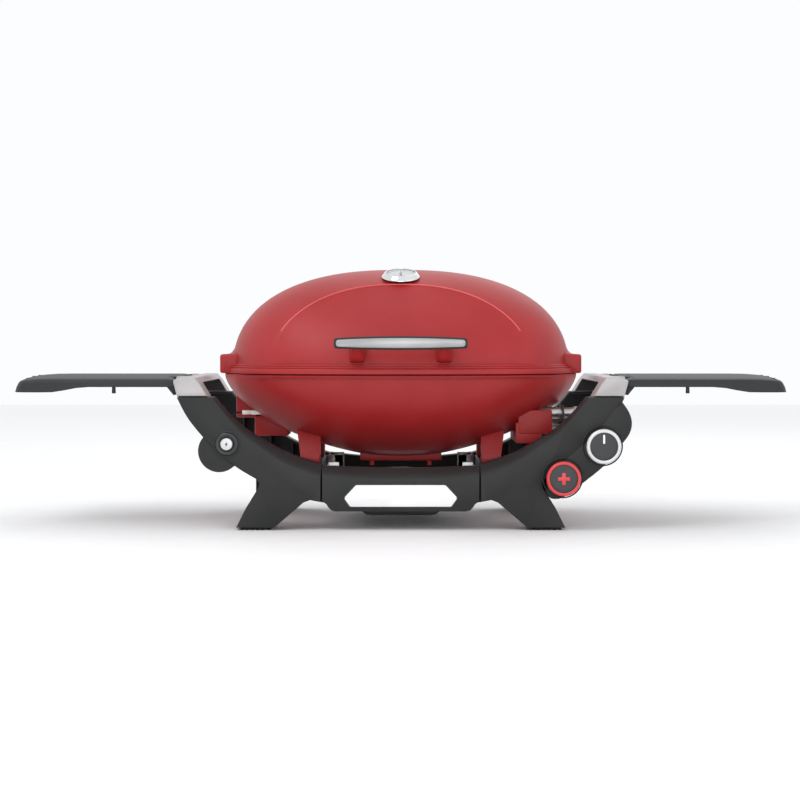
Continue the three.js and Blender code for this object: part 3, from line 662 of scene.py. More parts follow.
def buildCookbox():
    shell = shellMesh(bowlShape, 4.5, heatedCasting)
    hollow = bowlHollow()
    outlet = boxMesh(-54, 54, -29, 29, 90, 135)
    shell = carved(shell, [outlet.copy()])
    rim = ovalBand([(305.5, 221, 256.4), (306, 221.5, 255.8), (306, 221.5, 254), (303, 218, 250),
                    (297, 212, 250), (297, 212, 256.4)])
    shelf = ovalBand([(295, 206.5, 235), (275, 192, 235), (275, 192, 230), (291, 204, 228)])
    parts = [rim, shelf]
    blocks = [(-287, -238, -40, 40, 180, 228), (-255, -196, -40, 40, 148, 190),
              (238, 260, -40, 40, 155, 215), (200, 258, -122, -38, 155, 196),
              (196, 239.4, -120.5, 39.4, 139, 175)]
    for x0, x1, y0, y1, z0, z1 in blocks:
        parts.append(carved(rounded(boxMesh(x0, x1, y0, y1, z0, z1), 2.5, 2), [hollow.copy()]))
    for side in (-1, 1):
        leg = [(side * x, z) for x, z in ((137, 176), (182, 186), (169, 104.6), (138, 104.6))]
        for y, lean in ((-116, 34), (84, 0)):
            wedge = prism([(y - 2, 112), (y - 2, 190), (y + lean, 190)], "x", -200, 200)
            parts.append(carved(rounded(prism(leg, "y", y, y + 32), 2.5, 2), [wedge, hollow.copy()]))
        for edge in (-1, 1):
            middle = side * 130 + edge * 11.8
            ear = [(196, 228), (222, 236), (243, 250)] + arc(240, 263, 8.6, -45, 165, 8) + [(226, 256), (196, 256)]
            parts.append(rounded(prism(ear, "x", middle - 3.4, middle + 3.4), 1, 2))
    parts.append(carved(rounded(boxMesh(-71, 71, -45, 45, 105.3, 122), 3, 3), [outlet.copy()]))
    for x in (-50, 50):
        parts.append(turned([(0, 96.2), (3.2, 96.2), (3.9, 97), (3.9, 106.5), (0, 106.5)], (x, -36, 0), (0, 0, 1), 24))
    for mesh in parts:
        if not mesh.materials:
            mesh.materials.append(redEnamel)
    linkPiece("cookbox_casting", joined(shell, *parts), (redEnamel, heatedCasting), "cradle",
              ("cookbox",), 40)
    print("cookbox made")


buildLid()
buildCookbox()


# Main lines of one cradle arm, right side, in X and Z.
armInner = [(312, 220), (287, 191), (257, 164), (228, 147), (185, 124), (131.7, 107)]
armOuter = [(239.5, 85), (274, 106), (312, 138), (350, 182), (371, 220)]
legLow = [(131.7, 46.5), (150, 50), (161, 46), (210, 4), (273, 4), (257, 36), (236, 70), (234.5, 78)]
podEdge = [(366, 214), (378, 196), (383, 178), (379, 160), (366, 142), (339, 109), (308, 83), (272, 56)]
podInner = [(262, 52), (250, 52.5), (243, 58), (240, 66), (246, 90), (268, 115), (300, 143), (330, 172), (350, 200)]
cradle = {"depth": 62, "front": -215, "rear": 215, "wall": 4, "band": 16, "skin": 28}


def legPoints(side, sloped):
    # the sloping band along the top edge of an arm widens towards the middle of the cradle
    top = smoothLine(armInner, 7)
    if sloped:
        top = [(x, z, max(1.6, cradle["band"] * (1 - ((x - 131.7) / 178) ** 1.5))) for x, z in top[:-1]]
        top.append((131.7, 107, 1.0, -cradle["band"]))
    points = top + legLow + smoothLine(armOuter, 7)
    flipped = []
    for point in points:
        flipped.append((side * point[0], point[1]) + ((side * point[2], point[3]) if len(point) == 4 else point[2:]))
    return flipped


def frameLeg(side, end):
    front = cradle["front"] if end < 0 else cradle["rear"]
    back = front - end * cradle["depth"]
    body = moulding(legPoints(side, True), front, back)
    hollow = inset(anticlockwise(legPoints(side, False)), cradle["wall"])
    pocket = prism(hollow, "y", front - end * cradle["skin"], back - end * 4)
    ribs = [boxMesh(*sorted((side * (a - 1.5), side * (a + 1.5))), *sorted((front - end * (cradle["skin"] - 2), back + end * 1.5)),
                    b, c) for a, b, c in ((160, 52, 112), (200, 20, 126), (240, 12, 150), (290, 115, 190))]
    return body, pocket, ribs


def buildLegs():
    for side, word in ((-1, "left"), (1, "right")):
        for end, place in ((-1, "front"), (1, "rear")):
            body, pocket, ribs = frameLeg(side, end)
            name = word + "_" + place + "_leg"
            if name == "left_front_leg":
                body = carved(body, [pocket])
                boss = turned([(0, 0), (33.2, 0), (34.6, 0.5), (35, 1.8), (35, 58), (31, 58), (31, 8), (0, 8)],
                              (-301, -212, 131), (0, 1, 0), 96)
                seat = turned([(19.6, -0.2), (20.4, 0.4), (23, 1.2), (23, 3), (19.6, 3)], (-288, -217, 143),
                              (0, 1, 0), 72)
                hole = turned([(0, -6), (10.8, -6), (10.8, 20), (0, 20)], (-288, -215, 143), (0, 1, 0), 48)
                body = carved(body, [hole.copy()])
                body = joined(body, carved(boss, [hole]), seat)
            elif name == "right_front_leg":
                body = carved(body, [pocket])
                pod = [p for p in smoothLine(podEdge, 6)] + smoothLine(podInner, 4)
                shell = moulding(pod, -217, -154, 4.5)
                inner = anticlockwise(inset(anticlockwise(pod), 5))
                shell = carved(shell, [prism(inner, "y", -209, -140)])
                holes = [turned([(0, -6), (5.2, -6), (5.2, 20), (0, 20)], (x, -217, z), (0, 1, 0), 32)
                         for x, z in ((334, 140), (268, 87))]
                cups = [turned([(31.5, -0.3), (32.6, -0.9), (33.6, -0.3), (33.6, 2), (31.5, 2)], (x, -217, z),
                               (0, 1, 0), 96) for x, z in ((334, 140), (268, 87))]
                body = joined(carved(body, [h.copy() for h in holes]), carved(shell, holes), *cups)
            else:
                body = carved(body, [pocket])
            body = joined(body, *[rounded(rib, 0.6, 2) for rib in ribs])
            linkPiece(name + "_shell", body, blackNylon, "cradle", (name,), 32)
            y = end * 184
            pad = rounded(boxMesh(*sorted((side * 216, side * 266)), y - 24, y + 24, 0, 3.7), 1.2, 3)
            grooves = [boxMesh(*sorted((side * (x - 1.5), side * (x + 1.5))), y - 30, y + 30, -2, 1.0)
                       for x in (224, 233, 242, 251, 259)]
            padName = word + "_" + place + "_foot_pad"
            linkPiece(padName + "_rubber", carved(pad, grooves), rubber, "cradle", (padName,))
        rail = [(side * 136.4, 84.4), (side * 163.6, 84.4), (side * 163.6, 103.6), (side * 136.4, 103.6)]
        channel = [(side * 140, 80), (side * 160, 80), (side * 160, 100), (side * 140, 100)]
        beam = carved(rounded(prism(rail, "y", -152.6, 152.6), 2, 3), [prism(channel, "y", -148, 148)])
        linkPiece(word + "_rail_beam", beam, blackNylon, "cradle", (word + "_cross_rail",))
    print("legs made")


def topLine(half, middle, ends, steps=24):
    return [(-half + 2 * half * i / steps, middle + (ends - middle) * (2 * i / steps - 1) ** 2)
            for i in range(steps + 1)]


def buildPanels():
    half = 131.3
    low = [(half, 46.5), (127, 46), (123, 43), (120, 38), (115, 33), (108, 31.2), (-108, 31.2), (-115, 33),
           (-120, 38), (-123, 43), (-127, 46), (-half, 46.5)]
    crest = topLine(half, 103, 106.3)
    sloped = [(x, z, 16.5 - 3.5 * (x / half) ** 2) for x, z in crest[1:-1]]
    front = low + [crest[0] + (1.0, -13.0)] + sloped + [crest[-1] + (-1.0, -13.0)]
    panel = moulding(front, -215, -185)
    pocket = prism([(-126, 38), (126, 38), (126, 85), (-126, 85)], "y", -205, -180)
    ribs = [boxMesh(x - 1.5, x + 1.5, -206, -186.5, 36, 87) for x in (-84, -42, 0, 42, 84)]
    panel = joined(carved(panel, [pocket]), *ribs)
    wells = [turned([(5.4, 0.0), (6.4, -0.5), (7.4, 0.0), (7.4, 2), (5.4, 2)], (side * 113.5, -215.2, 43),
                    (0, 1, 0), 48) for side in (-1, 1)]
    linkPiece("front_panel_moulding", joined(panel, *wells), blackNylon, "cradle",
              ("front_centre_panel",), 32)
    rear = [(-half, 78.5), (half, 78.5)] + list(reversed(topLine(half, 97, 106.3)))
    back = moulding(rear, 215, 185)
    linkPiece("rear_panel_moulding", back, blackNylon, "cradle", ("rear_centre_panel",), 32)
    right = arc(72, 70.5, 7, 88, 40, 4) + arc(86.5, 53, 8.5, 36, -16, 5) + arc(81.5, 44, 7, -20, -88, 5)
    plate = [(-x, z) for x, z in reversed(right)] + right
    border = moulding(plate, -216.6, -215.2, 0.6)
    inner = inset(anticlockwise(plate), 2.4)
    face = moulding(inner, -217.9, -216.0, 0.7)
    linkPiece("nameplate_surround", border, glossBlack, "cradle")
    linkPiece("nameplate_blank", face, plateSteel, "cradle", ("nameplate",), 30)
    print("panels made")


def buildBrackets():
    # silver bar over each pair of arms; hollow below, with two lugs at each table pin
    for side, word in ((-1, "left"), (1, "right")):
        outer = [(320, 220.8), (371.6, 220.8), (378, 244.5)] + arc(374.6, 246.2, 3.4, 0, 62, 4)
        outer += [(370, 251.6)] + arc(363, 250.0, 3.5, 70, 100, 3) + [(348, 253.5)]
        outer += arc(345.5, 248.6, 4.9, 98, 148, 4) + [(334, 243.5)]
        section = anticlockwise([(side * x, z) for x, z in outer])
        bar = moulding(section, -205, 205, 1.8)
        gap = boxMesh(*sorted((side * 300, side * 400)), -150, 150, 200, 244.5)
        bar = carved(bar, [rounded(gap, 6, 4)])
        sockets = []
        for end in (-1, 1):
            middle = end * 120
            sockets.append(boxMesh(*sorted((side * 371.5, side * 385)), middle - 8.3, middle + 8.3, 240, 260))
        bar = carved(bar, sockets)
        lugs = []
        for end in (-1, 1):
            for edge in (-1, 1):
                middle = end * 120 + edge * 11.8
                lug = [(364, 246.6)] + arc(377.5, 250, 3.9, -90, 90, 10) + [(364, 253.2)]
                lug = anticlockwise([(side * x, z) for x, z in lug])
                lugs.append(rounded(prism(lug, "y", middle - 3.4, middle + 3.4), 0.6, 2))
        # a black sheet over the rear block's front and under the bar's roof: painted shade inside the hollow, where it
        # lies in shadow
        block = anticlockwise([(side * x, z) for x, z in ((322, 221.5), (370, 221.5), (375, 244), (335, 244))])
        roof = boxMesh(*sorted((side * 337, side * 371)), -149.6, 149.6, 242.8, 244.3)
        linkPiece(word + "_bracket_liner", joined(prism(block, "y", 146.5, 149.7), roof), blackNylon, "cradle")
        linkPiece(word + "_bracket_bar", joined(bar, *lugs), silverPaint, "cradle",
                  (word + "_carry_bracket",), 32)
    print("brackets made")


handleShape = {"half": 109, "front": -270, "back": -256.3, "post": 72}


def handleOutline(reach, top, bottom, bow):
    upper = [(x, top - bow * (x / reach) ** 2) for x in range(-int(reach) + 5, int(reach) - 4, 9)]
    lower = [(x, bottom + bow * 0.75 * (x / reach) ** 2) for x in range(int(reach) - 5, -int(reach) + 4, -9)]
    right = arc(reach - 4.5, top - bow - 4.2, 4.4, 75, 0, 4) + arc(reach - 4.5, bottom + bow * 0.75 + 4.2, 4.4, 0, -75, 4)
    left = arc(-reach + 4.5, bottom + bow * 0.75 + 4.2, 4.4, 255, 180, 4) + arc(-reach + 4.5, top - bow - 4.2, 4.4, 180, 105, 4)
    return upper + right + lower + left


def buildHandle():
    bar = moulding(handleOutline(handleShape["half"], 321.4, 299.0, 3.2), handleShape["front"],
                   handleShape["back"], 2.2)
    linkPiece("handle_bar", bar, blackNylon, "lid", ("lid_handle",), 32)
    inlay = moulding(handleOutline(handleShape["half"] - 3.5, 318.4, 302.0, 3.0), handleShape["front"] - 2.4,
                     handleShape["front"] + 0.5, 1.1)
    linkPiece("handle_plate", inlay, brushedSteel, "lid", ("handle_inlay",), 32)
    posts = []
    for side in (-1, 1):
        x = side * handleShape["post"]
        rings = []
        for y, wide, low, high in ((-258, 6.5, 303.5, 316), (-246, 7.5, 298, 316), (-232, 9.5, 288, 314),
                                   (-220, 12, 279, 312), (-206, 14, 276, 310)):
            rings.append([(x - wide, y, low + 3), (x - wide + 3, y, low), (x + wide - 3, y, low), (x + wide, y, low + 3),
                          (x + wide, y, high - 3), (x + wide - 3, y, high), (x - wide + 3, y, high),
                          (x - wide, y, high - 3)])
        posts.append(rounded(loft(rings), 1.2, 2, 30))
    linkPiece("handle_posts", joined(*posts), redEnamel, "lid")
    print("handle made")


buildLegs()
buildPanels()
buildBrackets()
buildHandle()


tableShape = {"inner": 380.5, "outer": 653.0, "half": 164.8, "edge": 248.5, "crown": 255.6, "skin": 3.2,
              "low": 236, "lipLow": 227, "corner": 26}


def tableOutline(distance, steps=10):
    # plan of the table drawn in from its edge: square towards the grill, round at the tip
    t = tableShape
    x0, x1, half = t["inner"] + distance, t["outer"] - distance, t["half"] - distance
    radius, small = max(2.0, t["corner"] - distance), 2.5
    points = []
    for i in range(12):
        points.append((x0 + small + (x1 - radius - x0 - small) * i / 12, -half))
    points += arc(x1 - radius, -half + radius, radius, -90, 0, steps)
    for i in range(1, 14):
        points.append((x1, -half + radius + (2 * half - 2 * radius) * i / 14))
    points += arc(x1 - radius, half - radius, radius, 0, 90, steps)
    for i in range(1, 13):
        points.append((x1 - radius - (x1 - radius - x0 - small) * i / 12, half))
    points += arc(x0 + small, half - small, small, 90, 180, 3)[1:]
    for i in range(1, 14):
        points.append((x0, half - small - (2 * half - 2 * small) * i / 14))
    points += arc(x0 + small, -half + small, small, 180, 270, 3)[:-1]
    return points


def tableTop(x, y):
    t = tableShape
    rise = (t["crown"] - t["edge"]) * (1 - (y / t["half"]) ** 2)
    tip = max(0.0, (x - 592) / 62)
    return t["edge"] + rise - 4.4 * tip ** 2


def tableLow(x):
    # the skirt deepens through an S-curve towards the tip
    t = tableShape
    share = min(1.0, max(0.0, (x - 528) / 66))
    return t["low"] + (t["lipLow"] - t["low"]) * share * share * (3 - 2 * share)


def tableMesh(side):
    t = tableShape
    rings = []

    def ring(distance, height):
        points = []
        for x, y in tableOutline(distance):
            z = height(x, y)
            slope = 0.42 * max(0.0, z - 230) * max(0.0, (x - 600) / 54) ** 2
            points.append((side * (x - slope), y, z))
        return points
    rings.append(ring(t["skin"], lambda x, y: tableTop(x, y) - 6.5))
    rings.append(ring(t["skin"], lambda x, y: tableLow(x) + 0.8))
    rings.append(ring(t["skin"] - 0.8, lambda x, y: tableLow(x)))
    rings.append(ring(0.8, lambda x, y: tableLow(x)))
    rings.append(ring(0.0, lambda x, y: tableLow(x) + 0.8))
    rings.append(ring(0.0, lambda x, y: (tableLow(x) + tableTop(x, y)) / 2 - 1.0))
    rings.append(ring(0.6, lambda x, y: tableTop(x, y) - 5.2))
    rings.append(ring(0.8, lambda x, y: tableTop(x, y) - 3.6))
    rings.append(ring(2.2, lambda x, y: tableTop(x, y) - 1.4))
    rings.append(ring(4.8, lambda x, y: tableTop(x, y)))
    rings.append(ring(11.0, lambda x, y: tableTop(x, y) + 0.3))
    rings.append(ring(12.0, lambda x, y: tableTop(x, y) - 0.9))
    rings.append(ring(13.6, lambda x, y: tableTop(x, y) - 0.9))
    rings.append(ring(14.6, lambda x, y: tableTop(x, y) + 0.3))
    for distance in (24, 44, 70, 100, 130, 155):
        rings.append(ring(distance, lambda x, y: tableTop(x, y) + 0.3))
    bm = bmesh.new()
    verts = [[bm.verts.new(at(*p)) for p in line] for line in rings]
    count = len(verts[0])
    for low, high in zip(verts, verts[1:]):
        for i in range(count):
            k = (i + 1) % count
            bm.faces.new((low[i], low[k], high[k], high[i]))
    bm.faces.new(verts[-1])
    inner = [verts[0]]
    for distance in (30, 80, 130, 155):
        inner.append([bm.verts.new(at(*p)) for p in ring(distance, lambda x, y: tableTop(x, y) - t["skin"])])
    for low, high in zip(inner, inner[1:]):
        for i in range(count):
            k = (i + 1) % count
            bm.faces.new((low[i], low[k], high[k], high[i]))
    bm.faces.new(inner[-1])
    return meshOf(bm)


def buildTables():
    for side, word in ((-1, "left"), (1, "right")):
        def span(a, b):
            return sorted((side * a, side * b))
        body = tableMesh(side)
        cuts, extras = [], []
        for end in (-1, 1):
            middle = end * 120
            cuts.append(boxMesh(*span(372, 385.5), middle - 16.6, middle + 16.6, 242.5, 262))
            knuckle = [(390, 247), (378, 246.1)] + list(reversed(arc(377.5, 250, 3.9, 95, 265, 10))) + [(390, 252.6)]
            knuckle = anticlockwise([(side * x, z) for x, z in knuckle])
            extras.append(rounded(prism(knuckle, "y", middle - 7.8, middle + 7.8), 0.6, 2))
        body = carved(body, cuts)
        for y in (-110, -55, 0, 55, 110):
            extras.append(boxMesh(*span(384, 640), y - 1.2, y + 1.2, 240, tableTop(500, y) - 2.0))
        for x in (430, 490, 550, 608):
            extras.append(boxMesh(*span(x - 1.2, x + 1.2), -160, 160, 242, 247))
        for y in (-160, 130):
            stop = anticlockwise([(side * x, z) for x, z in ((381, 245), (398, 245), (396, 238.5), (383, 222.5),
                                                            (381, 222))])
            extras.append(rounded(prism(stop, "y", y, y + 30), 1.2, 2))
        extras.append(turned([(0, 225.2), (2.6, 225.2), (3.5, 226.4), (3.2, 231), (2.9, 240), (2.9, 249), (0, 249)],
                             (side * 483.5, -157, 0), (0, 0, 1), 24))
        linkPiece(word + "_table_shell", joined(body, *extras), tableNylon, word + "_table",
                  (word + "_side_table",), 30)
    print("tables made")


def posed(mesh, centre, turn):
    # a mesh built about the origin, turned and then moved to its place
    origin = at(0, 0, 0)
    mesh.transform(Matrix.Translation(at(*centre)) @ turn.to_4x4() @ Matrix.Translation(-origin))
    return mesh


def ringTree():
    # copies of one small item round a circle, each turned to face outwards
    tree = bpy.data.node_groups.new("itemsInRing", "GeometryNodeTree")
    for name, kind in (("Item", "NodeSocketObject"), ("Count", "NodeSocketInt"), ("Width", "NodeSocketFloat"),
                       ("Depth", "NodeSocketFloat"), ("Start", "NodeSocketFloat"), ("Sweep", "NodeSocketFloat"),
                       ("Finish", "NodeSocketMaterial")):
        tree.interface.new_socket(name, in_out="INPUT", socket_type=kind)
    tree.interface.new_socket("Geometry", in_out="OUTPUT", socket_type="NodeSocketGeometry")
    given = addNode(tree, "NodeGroupInput").outputs
    line = addNode(tree, "GeometryNodeMeshLine", None, {"Count": given["Count"]})
    index = addNode(tree, "GeometryNodeInputIndex").outputs[0]
    step = addNode(tree, "ShaderNodeMath", {"operation": "DIVIDE"}, {0: given["Sweep"], 1: given["Count"]})
    angle = addNode(tree, "ShaderNodeMath", {"operation": "MULTIPLY_ADD"},
                    {0: index, 1: step.outputs[0], 2: given["Start"]}).outputs[0]
    across = addNode(tree, "ShaderNodeMath", {"operation": "COSINE"}, {0: angle}).outputs[0]
    along = addNode(tree, "ShaderNodeMath", {"operation": "SINE"}, {0: angle}).outputs[0]
    x = addNode(tree, "ShaderNodeMath", {"operation": "MULTIPLY"}, {0: across, 1: given["Width"]})
    y = addNode(tree, "ShaderNodeMath", {"operation": "MULTIPLY"}, {0: along, 1: given["Depth"]})
    spot = addNode(tree, "ShaderNodeCombineXYZ", None, {0: x.outputs[0], 1: y.outputs[0]})
    placed = addNode(tree, "GeometryNodeSetPosition", None, {"Geometry": line.outputs[0], "Position": spot.outputs[0]})
    turn = addNode(tree, "ShaderNodeCombineXYZ", None, {2: angle})
    item = addNode(tree, "GeometryNodeObjectInfo", None, {"Object": given["Item"]})
    copies = addNode(tree, "GeometryNodeInstanceOnPoints", None,
                     {"Points": placed.outputs[0], "Instance": item.outputs["Geometry"],
                      "Rotation": turn.outputs[0]})
    real = addNode(tree, "GeometryNodeRealizeInstances", None, {0: copies.outputs[0]})
    painted = addNode(tree, "GeometryNodeSetMaterial", None, {"Geometry": real.outputs[0], "Material": given["Finish"]})
    addNode(tree, "NodeGroupOutput", None, {0: painted.outputs[0]})
    return tree


ringItems = ringTree()


def ringOf(item, count, width, depth, material, start=0.0, sweep=2 * math.pi):
    # item is a mesh in metres about the origin, with +X facing outwards; width and depth in millimetres
    thing = looseObject("item", item)
    mesh = fromTree(ringItems, {"Item": thing, "Count": count, "Width": width * mm, "Depth": depth * mm,
                                "Start": start, "Sweep": sweep, "Finish": material})
    bpy.data.objects.remove(thing)
    return mesh


def aboutOrigin(mesh):
    # a mesh built with at() moved so that its own origin is the world's
    mesh.transform(Matrix.Translation(-at(0, 0, 0)))
    return mesh


def fromOrigin(mesh):
    mesh.transform(Matrix.Translation(at(0, 0, 0)))
    return mesh


def buildGauge():
    bezel = turned([(0, 0.8), (31, 0.8), (33, 1.4), (32.8, 2.6), (31, 4.4), (28.2, 8.2), (27.2, 9.2), (26.2, 9.5),
                    (25.4, 9.1), (25.2, 8.4), (25.2, 3.0), (0, 3.0)], (0, 0, 0), (0, 0, 1), 96)
    linkPiece("thermometer_bezel", posed(bezel, gaugeAt, gaugeTurn), chrome, "lid",
              ("thermometer_housing",), 40)
    face = turned([(0, 3.3), (24.6, 3.3), (24.8, 3.8), (24.4, 4.3), (0, 4.3)], (0, 0, 0), (0, 0, 1), 72)
    linkPiece("thermometer_face", posed(face, gaugeAt, gaugeTurn), whiteInk, "lid",
              ("thermometer_dial",))
    marks = []
    for count, length, wide, where in ((28, 2.2, 0.35, 22.3), (7, 4.0, 0.7, 21.2)):
        tick = aboutOrigin(boxMesh(-length / 2, length / 2, -wide / 2, wide / 2, 0, 0.12))
        marks.append(fromOrigin(ringOf(tick, count, where, where, blackInk, math.radians(-45), math.radians(270))))
    scale = joined(*marks)
    scale.transform(Matrix.Translation((0, 0, 4.31 * mm)))
    linkPiece("thermometer_scale", posed(scale, gaugeAt, gaugeTurn), blackInk, "lid")
    hand = prism([(-1.5, -7), (-0.9, -8), (0.9, -8), (1.5, -7), (1.1, 0), (0.35, 18.5), (0, 19.3), (-0.35, 18.5),
                  (-1.1, 0)], "z", 5.3, 6.0)
    hub = turned([(0, 4.7), (1.1, 4.7), (1.1, 5.1), (2.6, 5.2), (2.8, 5.9), (2.3, 6.9), (0, 7.1)], (0, 0, 0),
                 (0, 0, 1), 36)
    linkPiece("thermometer_hand", posed(joined(hand, hub), gaugeAt, gaugeTurn), glossBlack,
              "thermometer_pointer", ("thermometer_needle",))
    window = turned([(0, 7.5), (24.9, 7.4), (25.0, 7.9), (24.6, 8.3), (12, 8.6), (0, 8.7)], (0, 0, 0), (0, 0, 1), 72)
    linkPiece("thermometer_window", posed(window, gaugeAt, gaugeTurn), dialGlass, "lid",
              ("thermometer_glass",))
    print("thermometer made")


def knobParts(centre, radius, ringWidth, ringMaterial, body, slot, node, mark, markMaterial):
    x, z = centre
    away = (0, -1, 0)
    inner = radius - ringWidth
    grip = turned([(0, 0.2), (radius - 3, 0.2), (radius - 1.4, 1.4), (radius - 1.2, 13), (radius - 1.6, 15.4),
                   (inner, 15.8), (0, 15.8)], (x, -222.2, z), away, 96)
    rib = aboutOrigin(rounded(boxMesh(-1.2, 0.5, -0.9, 0.9, 2.2, 13.5), 0.4, 2))
    ribs = fromOrigin(ringOf(rib, 44, radius - 1.1, radius - 1.1, glossBlack))
    ribs = posed(ribs, (x, -222.2, z), Matrix.Rotation(math.pi / 2, 3, "X"))
    linkPiece(node + "_grip", joined(grip, ribs), glossBlack, body, (node,), 40)
    ring = turned([(inner + 0.2, 12.5), (radius - 0.6, 12.5), (radius, 14.2), (radius, 17.2), (radius - 1.3, 19.1),
                   (radius - 2.8, 19.8), (inner + 1.4, 19.6), (inner, 18.7), (inner, 12.5)], (x, -222.2, z), away, 96)
    linkPiece(node + "_ring", ring, ringMaterial, body, (), 35)
    cap = turned([(0, 15.8), (inner - 0.1, 15.8), (inner - 0.1, 17.4), (inner - 1.0, 17.9), (inner - 6, 18.1),
                  (0, 18.3)], (x, -222.2, z), away, 96)
    linkPiece(node + "_cap", cap, knobFace, body, (), 35)
    sign = prism([(x + a, z + b) for a, b in mark], "y", -222.2 - 18.75, -222.2 - 17.6)
    linkPiece(node + "_mark", rounded(sign, 0.25, 2), markMaterial, body)


def buildControls():
    bar = [(-1.6, 5.5), (-1.6, 18.5), (-0.8, 19.5), (0.8, 19.5), (1.6, 18.5), (1.6, 5.5), (0.8, 4.6), (-0.8, 4.6)]
    knobParts((334, 140), 28.7, 5.6, silverPlastic, "main_control", "gloss_black", "main_knob", bar, whiteInk)
    w, r = 2.9, 9.8
    plus = [(w, w), (r, w), (r, -w), (w, -w), (w, -r), (-w, -r), (-w, -w), (-r, -w), (-r, w), (-w, w), (-w, r), (w, r)]
    knobParts((268, 87), 28.4, 5.0, redPlastic, "centre_control", "gloss_black", "centre_knob", plus, redPlastic)
    x, z = 288, 143
    collar = turned([(10.7, 0), (18.6, 0), (19, 0.5), (18.6, 2.4), (17.2, 3.5), (15.5, 3.6), (13.4, 2.4), (11.2, 1.9),
                     (10.7, 1.4)], (-x, -215.35, z), (0, -1, 0), 72)
    linkPiece("igniter_surround", collar, glossBlack, "cradle", ("igniter_collar",), 35)
    cap = turned([(0, -20), (3.9, -20), (3.9, 0), (9.6, 0), (10, 0.8), (10, 7.2), (9.4, 8.2), (7.8, 8.7), (0, 8.2)],
                 (-x, -214.2, z), (0, -1, 0), 72)
    linkPiece("igniter_cap", cap, silverPlastic, "igniter", ("igniter_button",), 35)
    bolt = [(1.4, 4.6), (-2.6, -0.6), (-0.3, -0.6), (-1.4, -4.6), (2.6, 0.7), (0.3, 0.7)]
    spark = prism([(-x + a, z + b) for a, b in bolt], "y", -222.85, -222.3)
    linkPiece("igniter_spark_mark", spark, blackInk, "igniter")
    print("controls made")


buildTables()
buildGauge()
buildControls()


grateShape = {"pitch": 18.5, "first": 16, "count": 15, "bar width": 8.6, "low": 235.3, "top": 246,
              "half x": 286, "half y": 203, "frame": 13}


def grateTree():
    # parallel bars whose lengths follow the oval: one unit bar copied along a line
    tree = bpy.data.node_groups.new("grateBars", "GeometryNodeTree")
    for name, kind in (("Bar", "NodeSocketObject"), ("Count", "NodeSocketInt"), ("Pitch", "NodeSocketFloat"),
                       ("First", "NodeSocketFloat"), ("Half X", "NodeSocketFloat"), ("Half Y", "NodeSocketFloat"),
                       ("Power", "NodeSocketFloat"), ("Side", "NodeSocketFloat"), ("Finish", "NodeSocketMaterial")):
        tree.interface.new_socket(name, in_out="INPUT", socket_type=kind)
    tree.interface.new_socket("Geometry", in_out="OUTPUT", socket_type="NodeSocketGeometry")
    given = addNode(tree, "NodeGroupInput").outputs
    line = addNode(tree, "GeometryNodeMeshLine", None, {"Count": given["Count"]})
    value = {name: given[name] for name in ("Pitch", "First", "Half X", "Half Y", "Power", "Side")}
    value["index"] = addNode(tree, "GeometryNodeInputIndex").outputs[0]
    steps = [("stepped", "MULTIPLY", "index", "Pitch"), ("x", "ADD", "stepped", "First"),
             ("share", "DIVIDE", "x", "Half X"), ("raised", "POWER", "share", "Power"),
             ("left", "SUBTRACT", 1, "raised"), ("safe", "MAXIMUM", "left", 0.01),
             ("inverse", "DIVIDE", 1, "Power"), ("flat", "POWER", "safe", "inverse"),
             ("long", "MULTIPLY", "flat", "Half Y"), ("outX", "MULTIPLY", "x", "Side")]
    for name, operation, first, second in steps:
        value[name] = addNode(tree, "ShaderNodeMath", {"operation": operation},
                              {0: value.get(first, first), 1: value.get(second, second)}).outputs[0]
    spot = addNode(tree, "ShaderNodeCombineXYZ", None, {0: value["outX"]})
    placed = addNode(tree, "GeometryNodeSetPosition", None, {"Geometry": line.outputs[0], "Position": spot.outputs[0]})
    size = addNode(tree, "ShaderNodeCombineXYZ", None, {0: 1.0, 1: value["long"], 2: 1.0})
    item = addNode(tree, "GeometryNodeObjectInfo", None, {"Object": given["Bar"]})
    copies = addNode(tree, "GeometryNodeInstanceOnPoints", None,
                     {"Points": placed.outputs[0], "Instance": item.outputs["Geometry"], "Scale": size.outputs[0]})
    real = addNode(tree, "GeometryNodeRealizeInstances", None, {0: copies.outputs[0]})
    painted = addNode(tree, "GeometryNodeSetMaterial", None, {"Geometry": real.outputs[0], "Material": given["Finish"]})
    addNode(tree, "NodeGroupOutput", None, {0: painted.outputs[0]})
    return tree


def unitBar():
    # a tapered bar of unit half length along Y, in metres about the origin
    g = grateShape
    wide = g["bar width"] / 2
    section = [(-wide + 1.6, g["low"] + 0.3), (wide - 1.6, g["low"] + 0.3), (wide - 0.2, g["top"] - 1.6),
               (wide - 1.0, g["top"] - 0.3), (0, g["top"]), (-wide + 1.0, g["top"] - 0.3), (-wide + 0.2, g["top"] - 1.6)]
    return aboutOrigin(prism(section, "y", -1000, 1000))


